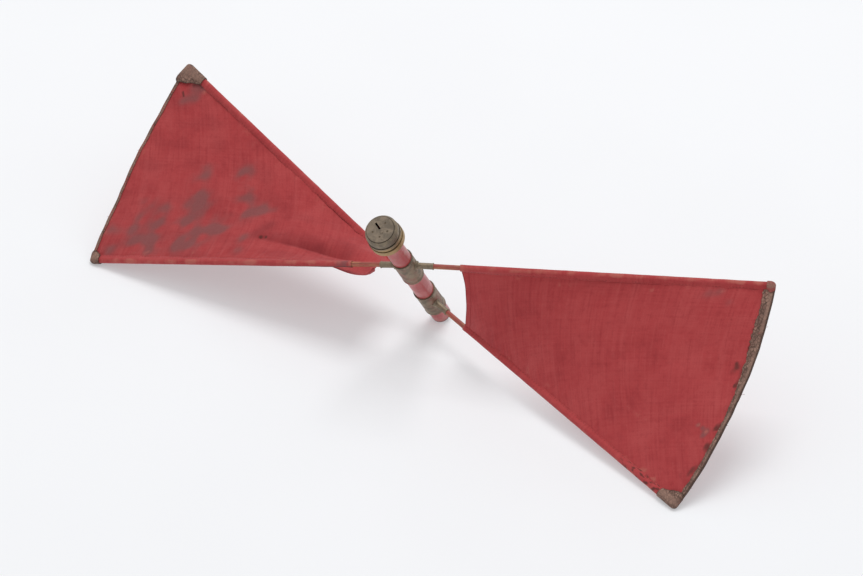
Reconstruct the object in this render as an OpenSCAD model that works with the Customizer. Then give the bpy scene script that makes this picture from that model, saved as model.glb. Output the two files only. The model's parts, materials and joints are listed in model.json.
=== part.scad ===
// Folding bow-tie semaphore signal: two cloth fans on wooden rods, held by two collars that turn on a staff.
// Everything is drawn upright on the staff first (foot at the origin, staff along +Z), and at_rest() then
// lays the finished signal on the floor, on its foot rim and on its two low arm tips.

/* [Staff] */
// Outside diameter of the staff tube
staff_d = 25.4; // [22:0.2:34]
// Wall of the staff tube
staff_wall = 1.2; // [0.8:0.1:2.5]
// Bare foot of the staff below the lower collar
foot_len = 27; // [10:1:80]
// Bare staff between the two collars
collar_gap = 49; // [20:1:90]
// Bare staff between the upper collar and the head
neck_len = 59; // [20:1:120]

/* [Collars] */
// Length of each collar along the staff
collar_len = 50; // [30:1:70]
// Wall of each collar
collar_wall = 1.2; // [0.8:0.1:3]
// Radial clearance of a collar that turns on the staff
collar_fit = 0.08; // [0.02:0.01:0.1]
// Height of the rolled lip at each end of a collar
lip_len = 2.4; // [1:0.1:4]
// How far the lip stands proud of the collar
lip_rise = 0.5; // [0.2:0.1:1.5]
// Height of the upper sockets above the middle of their collar
upper_rise = 5; // [-6:0.5:8]
// Height of the lower sockets above the middle of their collar
lower_rise = 1; // [-6:0.5:8]

/* [Arms] */
// Distance from the staff axis to the end of each rod
arm_reach = 462; // [300:1:700]
// Diameter of the wooden rods
rod_d = 6.4; // [4:0.1:9]
// Angle between the upper and the lower arms when the fans are open
spread = 36.5; // [25:0.5:60]
// Bend of the upper arms out of one straight line, per arm
upper_kink = 1.7; // [0:0.1:4]
// Bend of the lower arms out of one straight line, per arm
lower_kink = 0.85; // [0:0.05:4]
// Angle by which the right cloth draws its two rods together along the staff
right_pull = 4.7; // [0:0.1:8]
// Angle by which the left cloth draws its two rods together along the staff
left_pull = 8.75; // [0:0.05:10]
// Distance from the staff axis to the mouth of each socket
socket_reach = 36; // [28:1:60]
// Wall of each socket
socket_wall = 0.75; // [0.5:0.05:2]
// Radial clearance of a rod in its socket, and of a pocket on a rod
rod_fit = 0.05; // [0.02:0.01:0.2]
// Diameter of the round foot of each socket on its collar
boss_d = 12; // [10:0.5:18]

/* [Cloth] */
// Thickness of the cloth with its paint
cloth_t = 1.0; // [0.6:0.1:2]
// Distance from the staff axis to the inner ends of the sleeves
sleeve_start = 72; // [50:1:140]
// How far the cloth's outer edge lies past the end of the rods
cloth_overhang = 6; // [5:0.5:8]
// How far the right outer edge bulges past a straight line between the tips
right_bulge = 17; // [0:1:40]
// How far the left outer edge bulges past a straight line between the tips
left_bulge = 9; // [0:1:40]
// How far the inner edges bulge outwards between the rods
inner_bulge = 9; // [0:1:20]
// Width of the leather binding on the right outer edge
right_binding_w = 10; // [3:0.5:20]
// Width of the binding on the left outer edge
left_binding_w = 4; // [3:0.5:20]
// Thickness of the bindings
binding_t = 2.6; // [1.5:0.1:5]
// Width of the hem on the inner edges
hem_w = 7; // [3:0.5:14]
// Thickness of the hem on the inner edges
hem_t = 2; // [1.2:0.1:4]
// Gap between soft pieces that lie beside each other
soft_gap = 0.3; // [0.1:0.05:0.6]

/* [Corners] */
// Radius of the leather pockets that close the arm tips
corner_r = 5.4; // [4.8:0.1:9]
// Length of the pocket on the upper right arm
upper_right_pocket = 14; // [8:1:80]
// Length of the pocket on the lower right arm
lower_right_pocket = 42; // [8:1:80]
// Length of the pocket on the upper left arm
upper_left_pocket = 16; // [8:1:80]
// Length of the pocket on the lower left arm
lower_left_pocket = 28; // [8:1:80]

/* [Head] */
// Diameter of the lowest and widest ring of the head
head_d = 45.6; // [40:0.2:60]
// Height of the head from its underside to its rim
head_h = 27; // [22:1:40]
// Diameter of the rim
rim_d = 42.4; // [38:0.2:56]
// Diameter of the raised cap plate
plate_d = 36; // [28:0.5:38]
// Height of the cap plate above the rim
plate_rise = 4; // [3:0.5:8]
// Thickness of the cap plate
plate_t = 3; // [2:0.5:5]
// Depth of the grooves between the rings
groove_depth = 1.6; // [0.5:0.1:2.5]
// Height of the grooves between the rings
groove_h = 1.8; // [0.8:0.1:3]
// Clearance between the turned pieces of the head
head_fit = 0.05; // [0.02:0.01:0.1]
// Length of the slot in the cap plate, from near its middle
slot_len = 10.8; // [4:0.2:14]
// Width of the slot in the cap plate
slot_w = 2.6; // [1:0.1:5]
// Direction of the slot, as an angle from the upper right arm
slot_angle = 132; // [0:1:359]

/* [Rest] */
// Turn of the whole signal on the floor, which lays its span along X
heading = -13.5; // [-45:0.5:45]

/* [Hidden] */
$fn = 72;

staff_r = staff_d / 2;
bore_r = staff_r - staff_wall;
collar_bore_r = staff_r + collar_fit;
collar_r = collar_bore_r + collar_wall;
lower_collar_z = foot_len;
upper_collar_z = foot_len + collar_len + collar_gap;
lower_arm_z = lower_collar_z + collar_len / 2 + lower_rise;
upper_arm_z = upper_collar_z + collar_len / 2 + upper_rise;
head_z = upper_collar_z + collar_len + neck_len;

// The head is a drum with two rings, and a third ring that carries the cap plate.
head_r = head_d / 2;
rim_r = rim_d / 2;
middle_ring_r = (head_r + rim_r) / 2;
first_groove_z = head_h * 0.35;
second_groove_z = head_h * 0.65;
ring_z = second_groove_z + groove_h;
spigot_r = rim_r - groove_depth - 2.5;
spigot_h = 4;
tube_in_head = second_groove_z;
plate_r = plate_d / 2;
plate_top = head_h + plate_rise;
plate_seat = plate_top - plate_t;
seat_ledge = 3;
shoulder_drop = 0.8;
pin_d = 3;
pin_offset = 3.6;
pin_head_d = 4.4;
pin_proud = 0.6;
stud_d = 2.6;
stud_ring_r = 10;
stud_depth = 1.2;
stud_sunk = 0.4;
marks = 5;
slot_start = 0.6;

rod_r = rod_d / 2;
rod_start = collar_r + 1.5;
socket_r = rod_r + rod_fit + socket_wall;
mouth_bead_r = 0.55;
boss_h = 2.2;
sleeve_r = rod_r + rod_fit + cloth_t;
cloth_rows = 26;
cloth_columns = 14;
cloth_reach = arm_reach + cloth_overhang;
row_len = (cloth_reach - sleeve_start) / cloth_rows;

RIGHT = 1;
LEFT = -1;
// Direction and pull of each arm, seen from the head: the upper right arm lies near +X.
upper_azimuth = function (side) side == RIGHT ? upper_kink : 180 - upper_kink;
lower_azimuth = function (side) side == RIGHT ? lower_kink - spread : 180 - spread - lower_kink;
pull = function (side) side == RIGHT ? right_pull : left_pull;

function bearing(azimuth, climb) = [cos(climb) * cos(azimuth), cos(climb) * sin(azimuth), sin(climb)];
function upper_point(side, r) = [0, 0, upper_arm_z] + r * bearing(upper_azimuth(side), -pull(side));
function lower_point(side, r) = [0, 0, lower_arm_z] + r * bearing(lower_azimuth(side), pull(side));

// A fan is the ruled surface between its two rods: r runs along them and v goes from the upper to the lower.
function fan_point(side, r, v) = (1 - v) * upper_point(side, r) + v * lower_point(side, r);
function unit(p) = p / norm(p);
function fan_normal(side, r, v) = unit(cross(
    fan_point(side, r + 1, v) - fan_point(side, r - 1, v),
    lower_point(side, r) - upper_point(side, r)));
function arch(v) = 4 * v * (1 - v);
function outer_edge(side, v) = cloth_reach + (side == RIGHT ? right_bulge : left_bulge) * arch(v);
function inner_edge(v) = sleeve_start + inner_bulge * arch(v);
binding_w = function (side) side == RIGHT ? right_binding_w : left_binding_w;
upper_pocket = function (side) side == RIGHT ? upper_right_pocket : upper_left_pocket;
lower_pocket = function (side) side == RIGHT ? lower_right_pocket : lower_left_pocket;

// The part of v that a strip of this width along a rod takes up at distance r.
function inset(side, r, width) = width / norm(cross(
    lower_point(side, r) - upper_point(side, r), bearing(upper_azimuth(side), -pull(side))));

// Resting attitude: the up direction is a unit vector that both low tip balls and the foot rim agree on.
low_left = upper_point(LEFT, arm_reach);
low_right = lower_point(RIGHT, arm_reach);
function up_for(c) = let (
    rise = corner_r - staff_r * sqrt(1 - c * c),
    p = rise - c * low_left.z,
    q = rise - c * low_right.z,
    det = low_left.x * low_right.y - low_left.y * low_right.x)
    [(p * low_right.y - q * low_left.y) / det, (low_left.x * q - low_right.x * p) / det, c];
function solve_up(low, high, steps) = let (middle = (low + high) / 2)
    steps == 0 ? up_for(middle)
    : norm(up_for(middle)) > 1 ? solve_up(low, middle, steps - 1)
    : solve_up(middle, high, steps - 1);
up = solve_up(0.3, 1, 50);
lean = acos(up.z);
lean_axis = unit([up.y, -up.x, 0]);

// The same turn as a function, for working out where the tips land.
function turned(p) = let (
    leant = p * cos(lean) + cross(lean_axis, p) * sin(lean) + lean_axis * (lean_axis * p) * (1 - cos(lean)))
    [leant.x * cos(heading) - leant.y * sin(heading), leant.x * sin(heading) + leant.y * cos(heading), leant.z];
upper_tips = turned(low_left) + turned(upper_point(RIGHT, arm_reach));
lower_tips = turned(low_right) + turned(lower_point(LEFT, arm_reach));

module at_rest() {
    translate([-upper_tips.x / 2, -lower_tips.y / 2, staff_r * sin(lean)])
        rotate([0, 0, heading]) rotate(a = lean, v = lean_axis) children();
}

module ring(outer, inner, height) {
    rotate_extrude() translate([inner, 0]) square([outer - inner, height]);
}

// ---- staff and head ----

module staff_tube() {
    color("firebrick") at_rest() ring(staff_r, bore_r, head_z + tube_in_head);
}

module head_drum() {
    drum_bore = staff_r + head_fit;
    top = second_groove_z;
    color("darkkhaki") at_rest() translate([0, 0, head_z]) rotate_extrude() polygon([
        [drum_bore, 0], [head_r - 1, 0], [head_r, 1],
        [head_r, first_groove_z], [head_r - groove_depth, first_groove_z],
        [head_r - groove_depth, first_groove_z + groove_h], [middle_ring_r, first_groove_z + groove_h],
        [middle_ring_r, top], [rim_r - groove_depth, top], [rim_r - groove_depth, top + groove_h],
        [spigot_r, top + groove_h], [spigot_r, top + groove_h + spigot_h],
        [drum_bore, top + groove_h + spigot_h]]);
}

module cap_ring() {
    seat_r = plate_r + head_fit;
    color("darkkhaki") at_rest() translate([0, 0, head_z]) rotate_extrude() polygon([
        [spigot_r + head_fit, ring_z], [rim_r, ring_z], [rim_r, head_h - 1], [rim_r - 0.6, head_h],
        [seat_r + 0.8, plate_top - shoulder_drop], [seat_r, plate_top - shoulder_drop],
        [seat_r, plate_seat], [plate_r - seat_ledge, plate_seat],
        [plate_r - seat_ledge, ring_z + spigot_h + head_fit],
        [spigot_r + head_fit, ring_z + spigot_h + head_fit]]);
}

module stud_places() {
    for (k = [1 : marks - 1]) rotate([0, 0, 360 / marks * k]) translate([stud_ring_r, 0, 0]) children();
}

module cap_plate() {
    color("gray") at_rest() translate([0, 0, head_z + plate_seat]) rotate([0, 0, slot_angle]) difference() {
        cylinder(r = plate_r, h = plate_t);
        translate([slot_start, -slot_w / 2, -1]) cube([slot_len, slot_w, plate_t + 2]);
        translate([-pin_offset, 0, -1]) cylinder(d = pin_d + 2 * head_fit, h = plate_t + 2, $fn = 36);
        translate([0, 0, plate_t - stud_depth]) stud_places()
            cylinder(d = stud_d + 2 * head_fit, h = stud_depth + 1, $fn = 36);
    }
}

module cap_pin() {
    color("goldenrod") at_rest() translate([0, 0, head_z + plate_seat]) rotate([0, 0, slot_angle])
        translate([-pin_offset, 0, 0]) {
            cylinder(d = pin_d, h = plate_t, $fn = 36);
            translate([0, 0, plate_t]) cylinder(d = pin_head_d, h = pin_proud, $fn = 36);
        }
}

module plate_studs() {
    color("dimgray") at_rest() translate([0, 0, head_z + plate_seat + plate_t - stud_depth])
        rotate([0, 0, slot_angle]) stud_places() cylinder(d = stud_d, h = stud_depth - stud_sunk, $fn = 36);
}

// ---- collars and arms ----

module collar(z) {
    color("darkkhaki") at_rest() translate([0, 0, z]) rotate_extrude() polygon([
        [collar_bore_r, 0], [collar_r + lip_rise, 0], [collar_r + lip_rise, lip_len * 0.7], [collar_r, lip_len],
        [collar_r, collar_len - lip_len], [collar_r + lip_rise, collar_len - lip_len * 0.7],
        [collar_r + lip_rise, collar_len], [collar_bore_r, collar_len]]);
}

module lower_collar() { collar(lower_collar_z); }

module upper_collar() { collar(upper_collar_z); }

// Turns +Z into the direction of one arm, from the staff axis at the height of its sockets.
module on_arm(z, azimuth, climb) {
    at_rest() translate([0, 0, z]) rotate([0, 90 - climb, azimuth]) children();
}

module socket(z, azimuth, climb) {
    color("darkkhaki") difference() {
        on_arm(z, azimuth, climb) {
            rotate_extrude() polygon([
                [0, 0], [boss_d / 2, 0], [boss_d / 2, collar_r + boss_h * 0.5], [socket_r, collar_r + boss_h],
                [socket_r, socket_reach - 3 * mouth_bead_r], [socket_r + mouth_bead_r, socket_reach - 2 * mouth_bead_r],
                [socket_r + mouth_bead_r, socket_reach - mouth_bead_r], [socket_r, socket_reach], [0, socket_reach]]);
        }
        on_arm(z, azimuth, climb) translate([0, 0, rod_start]) cylinder(r = rod_r + rod_fit, h = socket_reach);
        at_rest() translate([0, 0, z - boss_d]) cylinder(r = collar_r + head_fit, h = 2 * boss_d);
    }
}

module rod(z, azimuth, climb) {
    color("sienna") on_arm(z, azimuth, climb) translate([0, 0, rod_start + rod_fit])
        cylinder(r = rod_r, h = arm_reach - rod_start - rod_fit, $fn = 48);
}

module sleeve(z, azimuth, climb, pocket) {
    color("firebrick") on_arm(z, azimuth, climb) translate([0, 0, sleeve_start])
        ring(sleeve_r, rod_r + rod_fit, arm_reach - pocket - soft_gap - sleeve_start);
}

// A leather pocket closes the arm tip with a ball, which is also what the signal rests on.
module pocket(z, azimuth, climb, length) {
    color("saddlebrown") on_arm(z, azimuth, climb) translate([0, 0, arm_reach]) rotate_extrude() difference() {
        union() {
            intersection() {
                circle(r = corner_r);
                translate([0, 0]) square([corner_r + 1, corner_r + 1]);
            }
            translate([0, -length]) square([corner_r, length]);
        }
        translate([0, -length - 1]) square([rod_r + rod_fit, length + 1 + rod_fit]);
    }
}

module lower_right_socket() { socket(lower_arm_z, lower_azimuth(RIGHT), right_pull); }

module lower_left_socket() { socket(lower_arm_z, lower_azimuth(LEFT), left_pull); }

module lower_right_rod() { rod(lower_arm_z, lower_azimuth(RIGHT), right_pull); }

module lower_left_rod() { rod(lower_arm_z, lower_azimuth(LEFT), left_pull); }

module lower_right_sleeve() { sleeve(lower_arm_z, lower_azimuth(RIGHT), right_pull, lower_right_pocket); }

module lower_left_sleeve() { sleeve(lower_arm_z, lower_azimuth(LEFT), left_pull, lower_left_pocket); }

module lower_right_pocket_leather() { pocket(lower_arm_z, lower_azimuth(RIGHT), right_pull, lower_right_pocket); }

module lower_left_pocket_leather() { pocket(lower_arm_z, lower_azimuth(LEFT), left_pull, lower_left_pocket); }

module upper_right_socket() { socket(upper_arm_z, upper_azimuth(RIGHT), -right_pull); }

module upper_left_socket() { socket(upper_arm_z, upper_azimuth(LEFT), -left_pull); }

module upper_right_rod() { rod(upper_arm_z, upper_azimuth(RIGHT), -right_pull); }

module upper_left_rod() { rod(upper_arm_z, upper_azimuth(LEFT), -left_pull); }

module upper_right_sleeve() { sleeve(upper_arm_z, upper_azimuth(RIGHT), -right_pull, upper_right_pocket); }

module upper_left_sleeve() { sleeve(upper_arm_z, upper_azimuth(LEFT), -left_pull, upper_left_pocket); }

module upper_right_pocket_leather() { pocket(upper_arm_z, upper_azimuth(RIGHT), -right_pull, upper_right_pocket); }

module upper_left_pocket_leather() { pocket(upper_arm_z, upper_azimuth(LEFT), -left_pull, upper_left_pocket); }

// ---- cloth ----

// What lies on a rod at distance r: its pocket, from one row of the cloth before it begins, or else its sleeve.
function cover_r(r, pocket) = r > arm_reach - pocket - row_len ? corner_r : sleeve_r;

// A closed sheet of a fan, from near_edge(v) to far_edge(v) and clear of what covers both rods, in triangles.
module panel(side, near_edge, far_edge, thickness, rows, columns) {
    across = columns + 1;
    layer = (rows + 1) * across;
    function reach(i, v) = near_edge(v) + (far_edge(v) - near_edge(v)) * i / rows;
    function place(i, j, face) = let (
        v_plain = j / columns,
        r_plain = reach(i, v_plain),
        first = inset(side, r_plain, cover_r(r_plain, upper_pocket(side)) + soft_gap),
        last = 1 - inset(side, r_plain, cover_r(r_plain, lower_pocket(side)) + soft_gap),
        v = first + (last - first) * v_plain,
        r = reach(i, v))
        fan_point(side, r, v) + face * thickness / 2 * fan_normal(side, r, v);
    points = [for (face = [1, -1]) for (i = [0 : rows]) for (j = [0 : columns]) place(i, j, face)];
    function at(i, j, face) = i * across + j + (face > 0 ? 0 : layer);
    function two(a, b, c, d) = [[a, b, c], [a, c, d]];
    function flat_list(lists) = [for (l = lists) each l];
    top = [for (i = [0 : rows - 1]) for (j = [0 : columns - 1])
        two(at(i, j, 1), at(i, j + 1, 1), at(i + 1, j + 1, 1), at(i + 1, j, 1))];
    bottom = [for (i = [0 : rows - 1]) for (j = [0 : columns - 1])
        two(at(i, j, -1), at(i + 1, j, -1), at(i + 1, j + 1, -1), at(i, j + 1, -1))];
    ends = [for (j = [0 : columns - 1]) each [
        two(at(0, j, 1), at(0, j, -1), at(0, j + 1, -1), at(0, j + 1, 1)),
        two(at(rows, j, 1), at(rows, j + 1, 1), at(rows, j + 1, -1), at(rows, j, -1))]];
    sides = [for (i = [0 : rows - 1]) each [
        two(at(i, 0, 1), at(i + 1, 0, 1), at(i + 1, 0, -1), at(i, 0, -1)),
        two(at(i, columns, 1), at(i, columns, -1), at(i + 1, columns, -1), at(i + 1, columns, 1))]];
    at_rest() polyhedron(points, flat_list(concat(top, bottom, ends, sides)));
}

module fan_cloth(side) {
    color("firebrick") panel(side, function (v) inner_edge(v) + hem_w + soft_gap,
        function (v) outer_edge(side, v) - binding_w(side) - soft_gap, cloth_t, cloth_rows, cloth_columns);
}

module edge_binding(side) {
    color("saddlebrown") panel(side, function (v) outer_edge(side, v) - binding_w(side),
        function (v) outer_edge(side, v), binding_t, 1, 2 * cloth_columns);
}

module inner_hem(side) {
    color("firebrick") panel(side, function (v) inner_edge(v), function (v) inner_edge(v) + hem_w,
        hem_t, 1, cloth_columns);
}

module right_cloth() { fan_cloth(RIGHT); }

module left_cloth() { fan_cloth(LEFT); }

module right_binding() { edge_binding(RIGHT); }

module left_binding() { edge_binding(LEFT); }

module right_inner_hem() { inner_hem(RIGHT); }

module left_inner_hem() { inner_hem(LEFT); }

staff_tube();
head_drum();
cap_ring();
cap_plate();
cap_pin();
plate_studs();
lower_collar();
lower_right_socket();
lower_left_socket();
lower_right_rod();
lower_left_rod();
lower_right_sleeve();
lower_left_sleeve();
lower_right_pocket_leather();
lower_left_pocket_leather();
upper_collar();
upper_right_socket();
upper_left_socket();
upper_right_rod();
upper_left_rod();
upper_right_sleeve();
upper_left_sleeve();
upper_right_pocket_leather();
upper_left_pocket_leather();
right_cloth();
left_cloth();
right_binding();
left_binding();
right_inner_hem();
left_inner_hem();
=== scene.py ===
"""Looks of a folding bow-tie signal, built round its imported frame.

Two red cloth fans hang on four wooden rods. The rods sit in sockets on two brass collars, which turn on a
painted staff with a turned brass head. The frame gives every line and length, and this file makes the
cloth, the leather and the finishes. Lengths are in metres, and MM turns a maker's millimetres into them.
"""

import json
import logging
import math
from dataclasses import dataclass
from enum import Enum

import bpy
import numpy as np
from mathutils import Matrix, Quaternion, Vector


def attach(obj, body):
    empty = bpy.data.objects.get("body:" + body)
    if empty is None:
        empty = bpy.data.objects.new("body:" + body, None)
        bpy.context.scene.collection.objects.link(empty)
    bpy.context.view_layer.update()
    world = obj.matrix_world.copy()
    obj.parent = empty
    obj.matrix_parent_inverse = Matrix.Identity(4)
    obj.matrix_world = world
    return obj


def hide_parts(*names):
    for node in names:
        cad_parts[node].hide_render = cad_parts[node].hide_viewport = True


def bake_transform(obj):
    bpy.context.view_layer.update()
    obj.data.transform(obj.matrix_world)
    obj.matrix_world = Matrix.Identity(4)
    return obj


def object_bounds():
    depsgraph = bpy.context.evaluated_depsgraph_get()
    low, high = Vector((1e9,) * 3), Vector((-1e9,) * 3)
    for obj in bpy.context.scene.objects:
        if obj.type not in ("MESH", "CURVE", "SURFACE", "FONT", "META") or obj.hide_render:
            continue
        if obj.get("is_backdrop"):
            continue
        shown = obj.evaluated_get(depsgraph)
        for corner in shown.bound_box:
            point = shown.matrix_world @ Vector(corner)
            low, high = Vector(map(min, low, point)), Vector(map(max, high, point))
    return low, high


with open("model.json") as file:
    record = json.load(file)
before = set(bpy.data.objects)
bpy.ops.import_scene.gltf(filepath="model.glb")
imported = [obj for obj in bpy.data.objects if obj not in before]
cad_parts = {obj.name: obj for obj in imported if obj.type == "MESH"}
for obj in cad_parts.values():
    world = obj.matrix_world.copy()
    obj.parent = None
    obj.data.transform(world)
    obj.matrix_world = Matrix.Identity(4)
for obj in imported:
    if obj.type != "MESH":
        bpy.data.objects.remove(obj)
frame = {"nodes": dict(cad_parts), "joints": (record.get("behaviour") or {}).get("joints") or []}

MM = 0.001
log = logging.getLogger("signal")


class Side(Enum):
    """Which fan a piece belongs to."""

    RIGHT = "right"
    LEFT = "left"


class Tier(Enum):
    """Which pair of arms a piece belongs to."""

    UPPER = "upper"
    LOWER = "lower"

    @property
    def body(self) -> str:
        """The name of the moving body that these arms are."""
        return f"{self.value}_arms"


class Mark(Enum):
    """Masks that a cloth or leather surface carries as point attributes, from 0 to 1."""

    STAIN = "stain"
    # Wear, and on the sleeves' crowns also a painted highlight.
    RUB_AND_HIGHLIGHT = "rub"
    # Dirt, and painted shade along the folded edges of the leather tape and the hem.
    GRIME_AND_SHADE = "grime_and_shade"
    # On cloth this mask is painted shade in the left fan's crease; on leather it marks traces of red dope.
    CREASE_SHADE_AND_DOPE = "fold"


# ------------------------------------------------------------------------------ small sums


def swatch(red: int, green: int, blue: int) -> tuple[float, float, float, float]:
    """Turns a paint swatch into a shader colour.

    Args:
        red: Red part of the swatch, 0 to 255.
        green: Green part of the swatch, 0 to 255.
        blue: Blue part of the swatch, 0 to 255.

    Returns:
        The linear colour, with an alpha of 1.
    """
    parts = [channel / 255 for channel in (red, green, blue)]
    linear = [p / 12.92 if p <= 0.04045 else ((p + 0.055) / 1.055) ** 2.4 for p in parts]
    return (*linear, 1.0)


def ease(value: np.ndarray, low: float, high: float) -> np.ndarray:
    """Rises smoothly from 0 at low to 1 at high, as three squares less two cubes; low may be the larger."""
    share = np.clip((np.asarray(value, float) - low) / (high - low), 0, 1)
    return share * share * (3 - 2 * share)


def unit(vectors: np.ndarray) -> np.ndarray:
    """Scales each vector on the last axis to a length of 1."""
    return vectors / np.linalg.norm(vectors, axis=-1, keepdims=True)


def swell(x: np.ndarray, y: np.ndarray, size: float, seed: int, waves: int = 18) -> np.ndarray:
    """Gives smooth unevenness: a sum of plane waves in random directions.

    Args:
        x: First coordinate of each point.
        y: Second coordinate of each point.
        size: Typical length of one wave, in the units of x and y.
        seed: Seed of the random directions and phases.
        waves: How many waves are added.

    Returns:
        Values about 0 that are mostly between -1 and 1.
    """
    draw = np.random.default_rng(seed)
    turn = draw.uniform(0, 2 * np.pi, waves)
    rate = 2 * np.pi / (size * draw.uniform(0.6, 1.7, waves))
    phase = draw.uniform(0, 2 * np.pi, waves)
    x, y = np.asarray(x, float)[..., None], np.asarray(y, float)[..., None]
    total = np.cos(rate * (x * np.cos(turn) + y * np.sin(turn)) + phase).sum(-1)
    return total / math.sqrt(waves)


# Marks on a fan, in millimetres: how far out from the staff, how far from the upper rod and how wide.
Places = tuple[tuple[float, float, float], ...]


def spots(x: np.ndarray, y: np.ndarray, centres: Places) -> np.ndarray:
    """Adds soft round spots, each falling off as a bell curve.

    Args:
        x: First coordinate of each point, in metres.
        y: Second coordinate of each point, in metres.
        centres: Each spot's two coordinates and radius, in millimetres.

    Returns:
        The sum of the spots, 1 at the middle of a lone one.
    """
    table = np.array(centres, float) * MM
    gap = (x[..., None] - table[:, 0]) ** 2 + (y[..., None] - table[:, 1]) ** 2
    return np.exp(-gap / table[:, 2] ** 2).sum(-1)


# ------------------------------------------------------------------------------ meshes


def set_marks(piece: bpy.types.Object, marks: dict[Mark, np.ndarray]) -> None:
    """Writes masks onto a piece as point attributes, kept between 0 and 1."""
    for mark, values in marks.items():
        layer = piece.data.attributes.new(mark.value, "FLOAT", "POINT")
        layer.data.foreach_set("value", np.clip(values, 0, 1).astype(np.float32).ravel())


def add_mesh(name: str, points: np.ndarray, faces: np.ndarray) -> bpy.types.Object:
    """Makes a smooth-shaded object from points and faces that all have as many corners.

    Args:
        name: Name of the piece.
        points: Points, as n rows of three.
        faces: Faces, as rows of point numbers.

    Returns:
        The new object, at the origin.
    """
    mesh = bpy.data.meshes.new(name)
    mesh.from_pydata(points.reshape(-1, 3).tolist(), [], faces.tolist())
    mesh.polygons.foreach_set("use_smooth", np.ones(len(mesh.polygons), bool))
    mesh.update()
    piece = bpy.data.objects.new(name, mesh)
    bpy.context.scene.collection.objects.link(piece)
    return piece


def grid_faces(rows: int, columns: int, ring: bool = False) -> np.ndarray:
    """Numbers the corners of a grid's four-sided faces.

    Args:
        rows: How many rows of points the grid has.
        columns: How many points a row has.
        ring: Whether each row closes on itself.

    Returns:
        Rows of four point numbers, wound so that a face looks along rows cross columns.
    """
    across = columns if ring else columns - 1
    row, column = np.meshgrid(np.arange(rows - 1), np.arange(across), indexing="ij")
    beside = (column + 1) % columns
    corners = (row * columns + column, (row + 1) * columns + column,
               (row + 1) * columns + beside, row * columns + beside)
    return np.stack([c.ravel() for c in corners], axis=1)


def add_sheet(name: str, points: np.ndarray, flat: np.ndarray, thick: float) -> bpy.types.Object:
    """Makes a sheet from a grid of points on its middle surface, with a UV map in metres.

    Args:
        name: Name of the piece.
        points: Grid of points, rows by columns by 3.
        flat: Each point's place on the flat cut, rows by columns by 2, in metres.
        thick: Thickness that Solidify gives the sheet.

    Returns:
        The new object.
    """
    rows, columns = points.shape[:2]
    faces = grid_faces(rows, columns)
    piece = add_mesh(name, points, faces)
    layer = piece.data.uv_layers.new(name="cut")
    layer.data.foreach_set("uv", flat.reshape(-1, 2)[faces.ravel()].astype(np.float32).ravel())
    wall = piece.modifiers.new("thickness", "SOLIDIFY")
    wall.thickness = thick
    wall.offset = 0.0
    return piece


def add_tube(name: str, paths: list[np.ndarray], radius: float, sides: int = 6) -> bpy.types.Object:
    """Makes round threads, each a ring of points carried along a path and pinched shut at both ends.

    Args:
        name: Name of the piece.
        paths: One array of points for each thread.
        radius: Radius of a thread.
        sides: How many points a ring has.

    Returns:
        One object that holds all the threads.
    """
    turn = np.arange(sides) * 2 * np.pi / sides
    points, faces, count = [], [], 0
    for path in paths:
        along = unit(np.gradient(path, axis=0))
        first = unit(np.cross(along, np.array([0.31, 0.17, 0.93])))
        second = np.cross(along, first)
        swing = np.cos(turn)[None, :, None] * first[:, None] + np.sin(turn)[None, :, None] * second[:, None]
        girth = np.full(len(path), radius)
        girth[[0, -1]] = radius * 0.02
        points.append((path[:, None] + girth[:, None, None] * swing).reshape(-1, 3))
        faces.append(grid_faces(len(path), sides, ring=True) + count)
        count += len(path) * sides
    return add_mesh(name, np.concatenate(points), np.concatenate(faces))


def add_stitches(name: str, places: np.ndarray, along: np.ndarray, up: np.ndarray,
                 size: tuple[float, float, float]) -> bpy.types.Object:
    """Makes a row of stitches, each a small spindle: rings whose radius follows half a sine wave.

    Args:
        name: Name of the piece.
        places: Middle of each stitch.
        along: Unit vector along each stitch.
        up: Unit vector out of the cloth at each stitch.
        size: Length, width and height of one stitch.

    Returns:
        One object that holds all the stitches.
    """
    rings, sides = 6, 6
    step, turn = np.meshgrid(np.linspace(0.02, 0.98, rings), np.arange(sides) / sides, indexing="ij")
    girth = np.sin(np.pi * step)
    spindle = np.stack([(step - 0.5) * size[0], girth * np.cos(2 * np.pi * turn) * size[1] / 2,
                        girth * np.sin(2 * np.pi * turn) * size[2] / 2], axis=-1).reshape(-1, 3)
    side = np.cross(up, along)
    axes = np.stack([along, side, up], axis=1)
    points = places[:, None] + np.einsum("pk,nkd->npd", spindle, axes)
    one = grid_faces(rings, sides, ring=True)
    faces = one[None] + (np.arange(len(places)) * rings * sides)[:, None, None]
    return add_mesh(name, points, faces.reshape(-1, 4))


# ------------------------------------------------------------------------------ materials

Feed = bpy.types.NodeSocket | float | tuple


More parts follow.
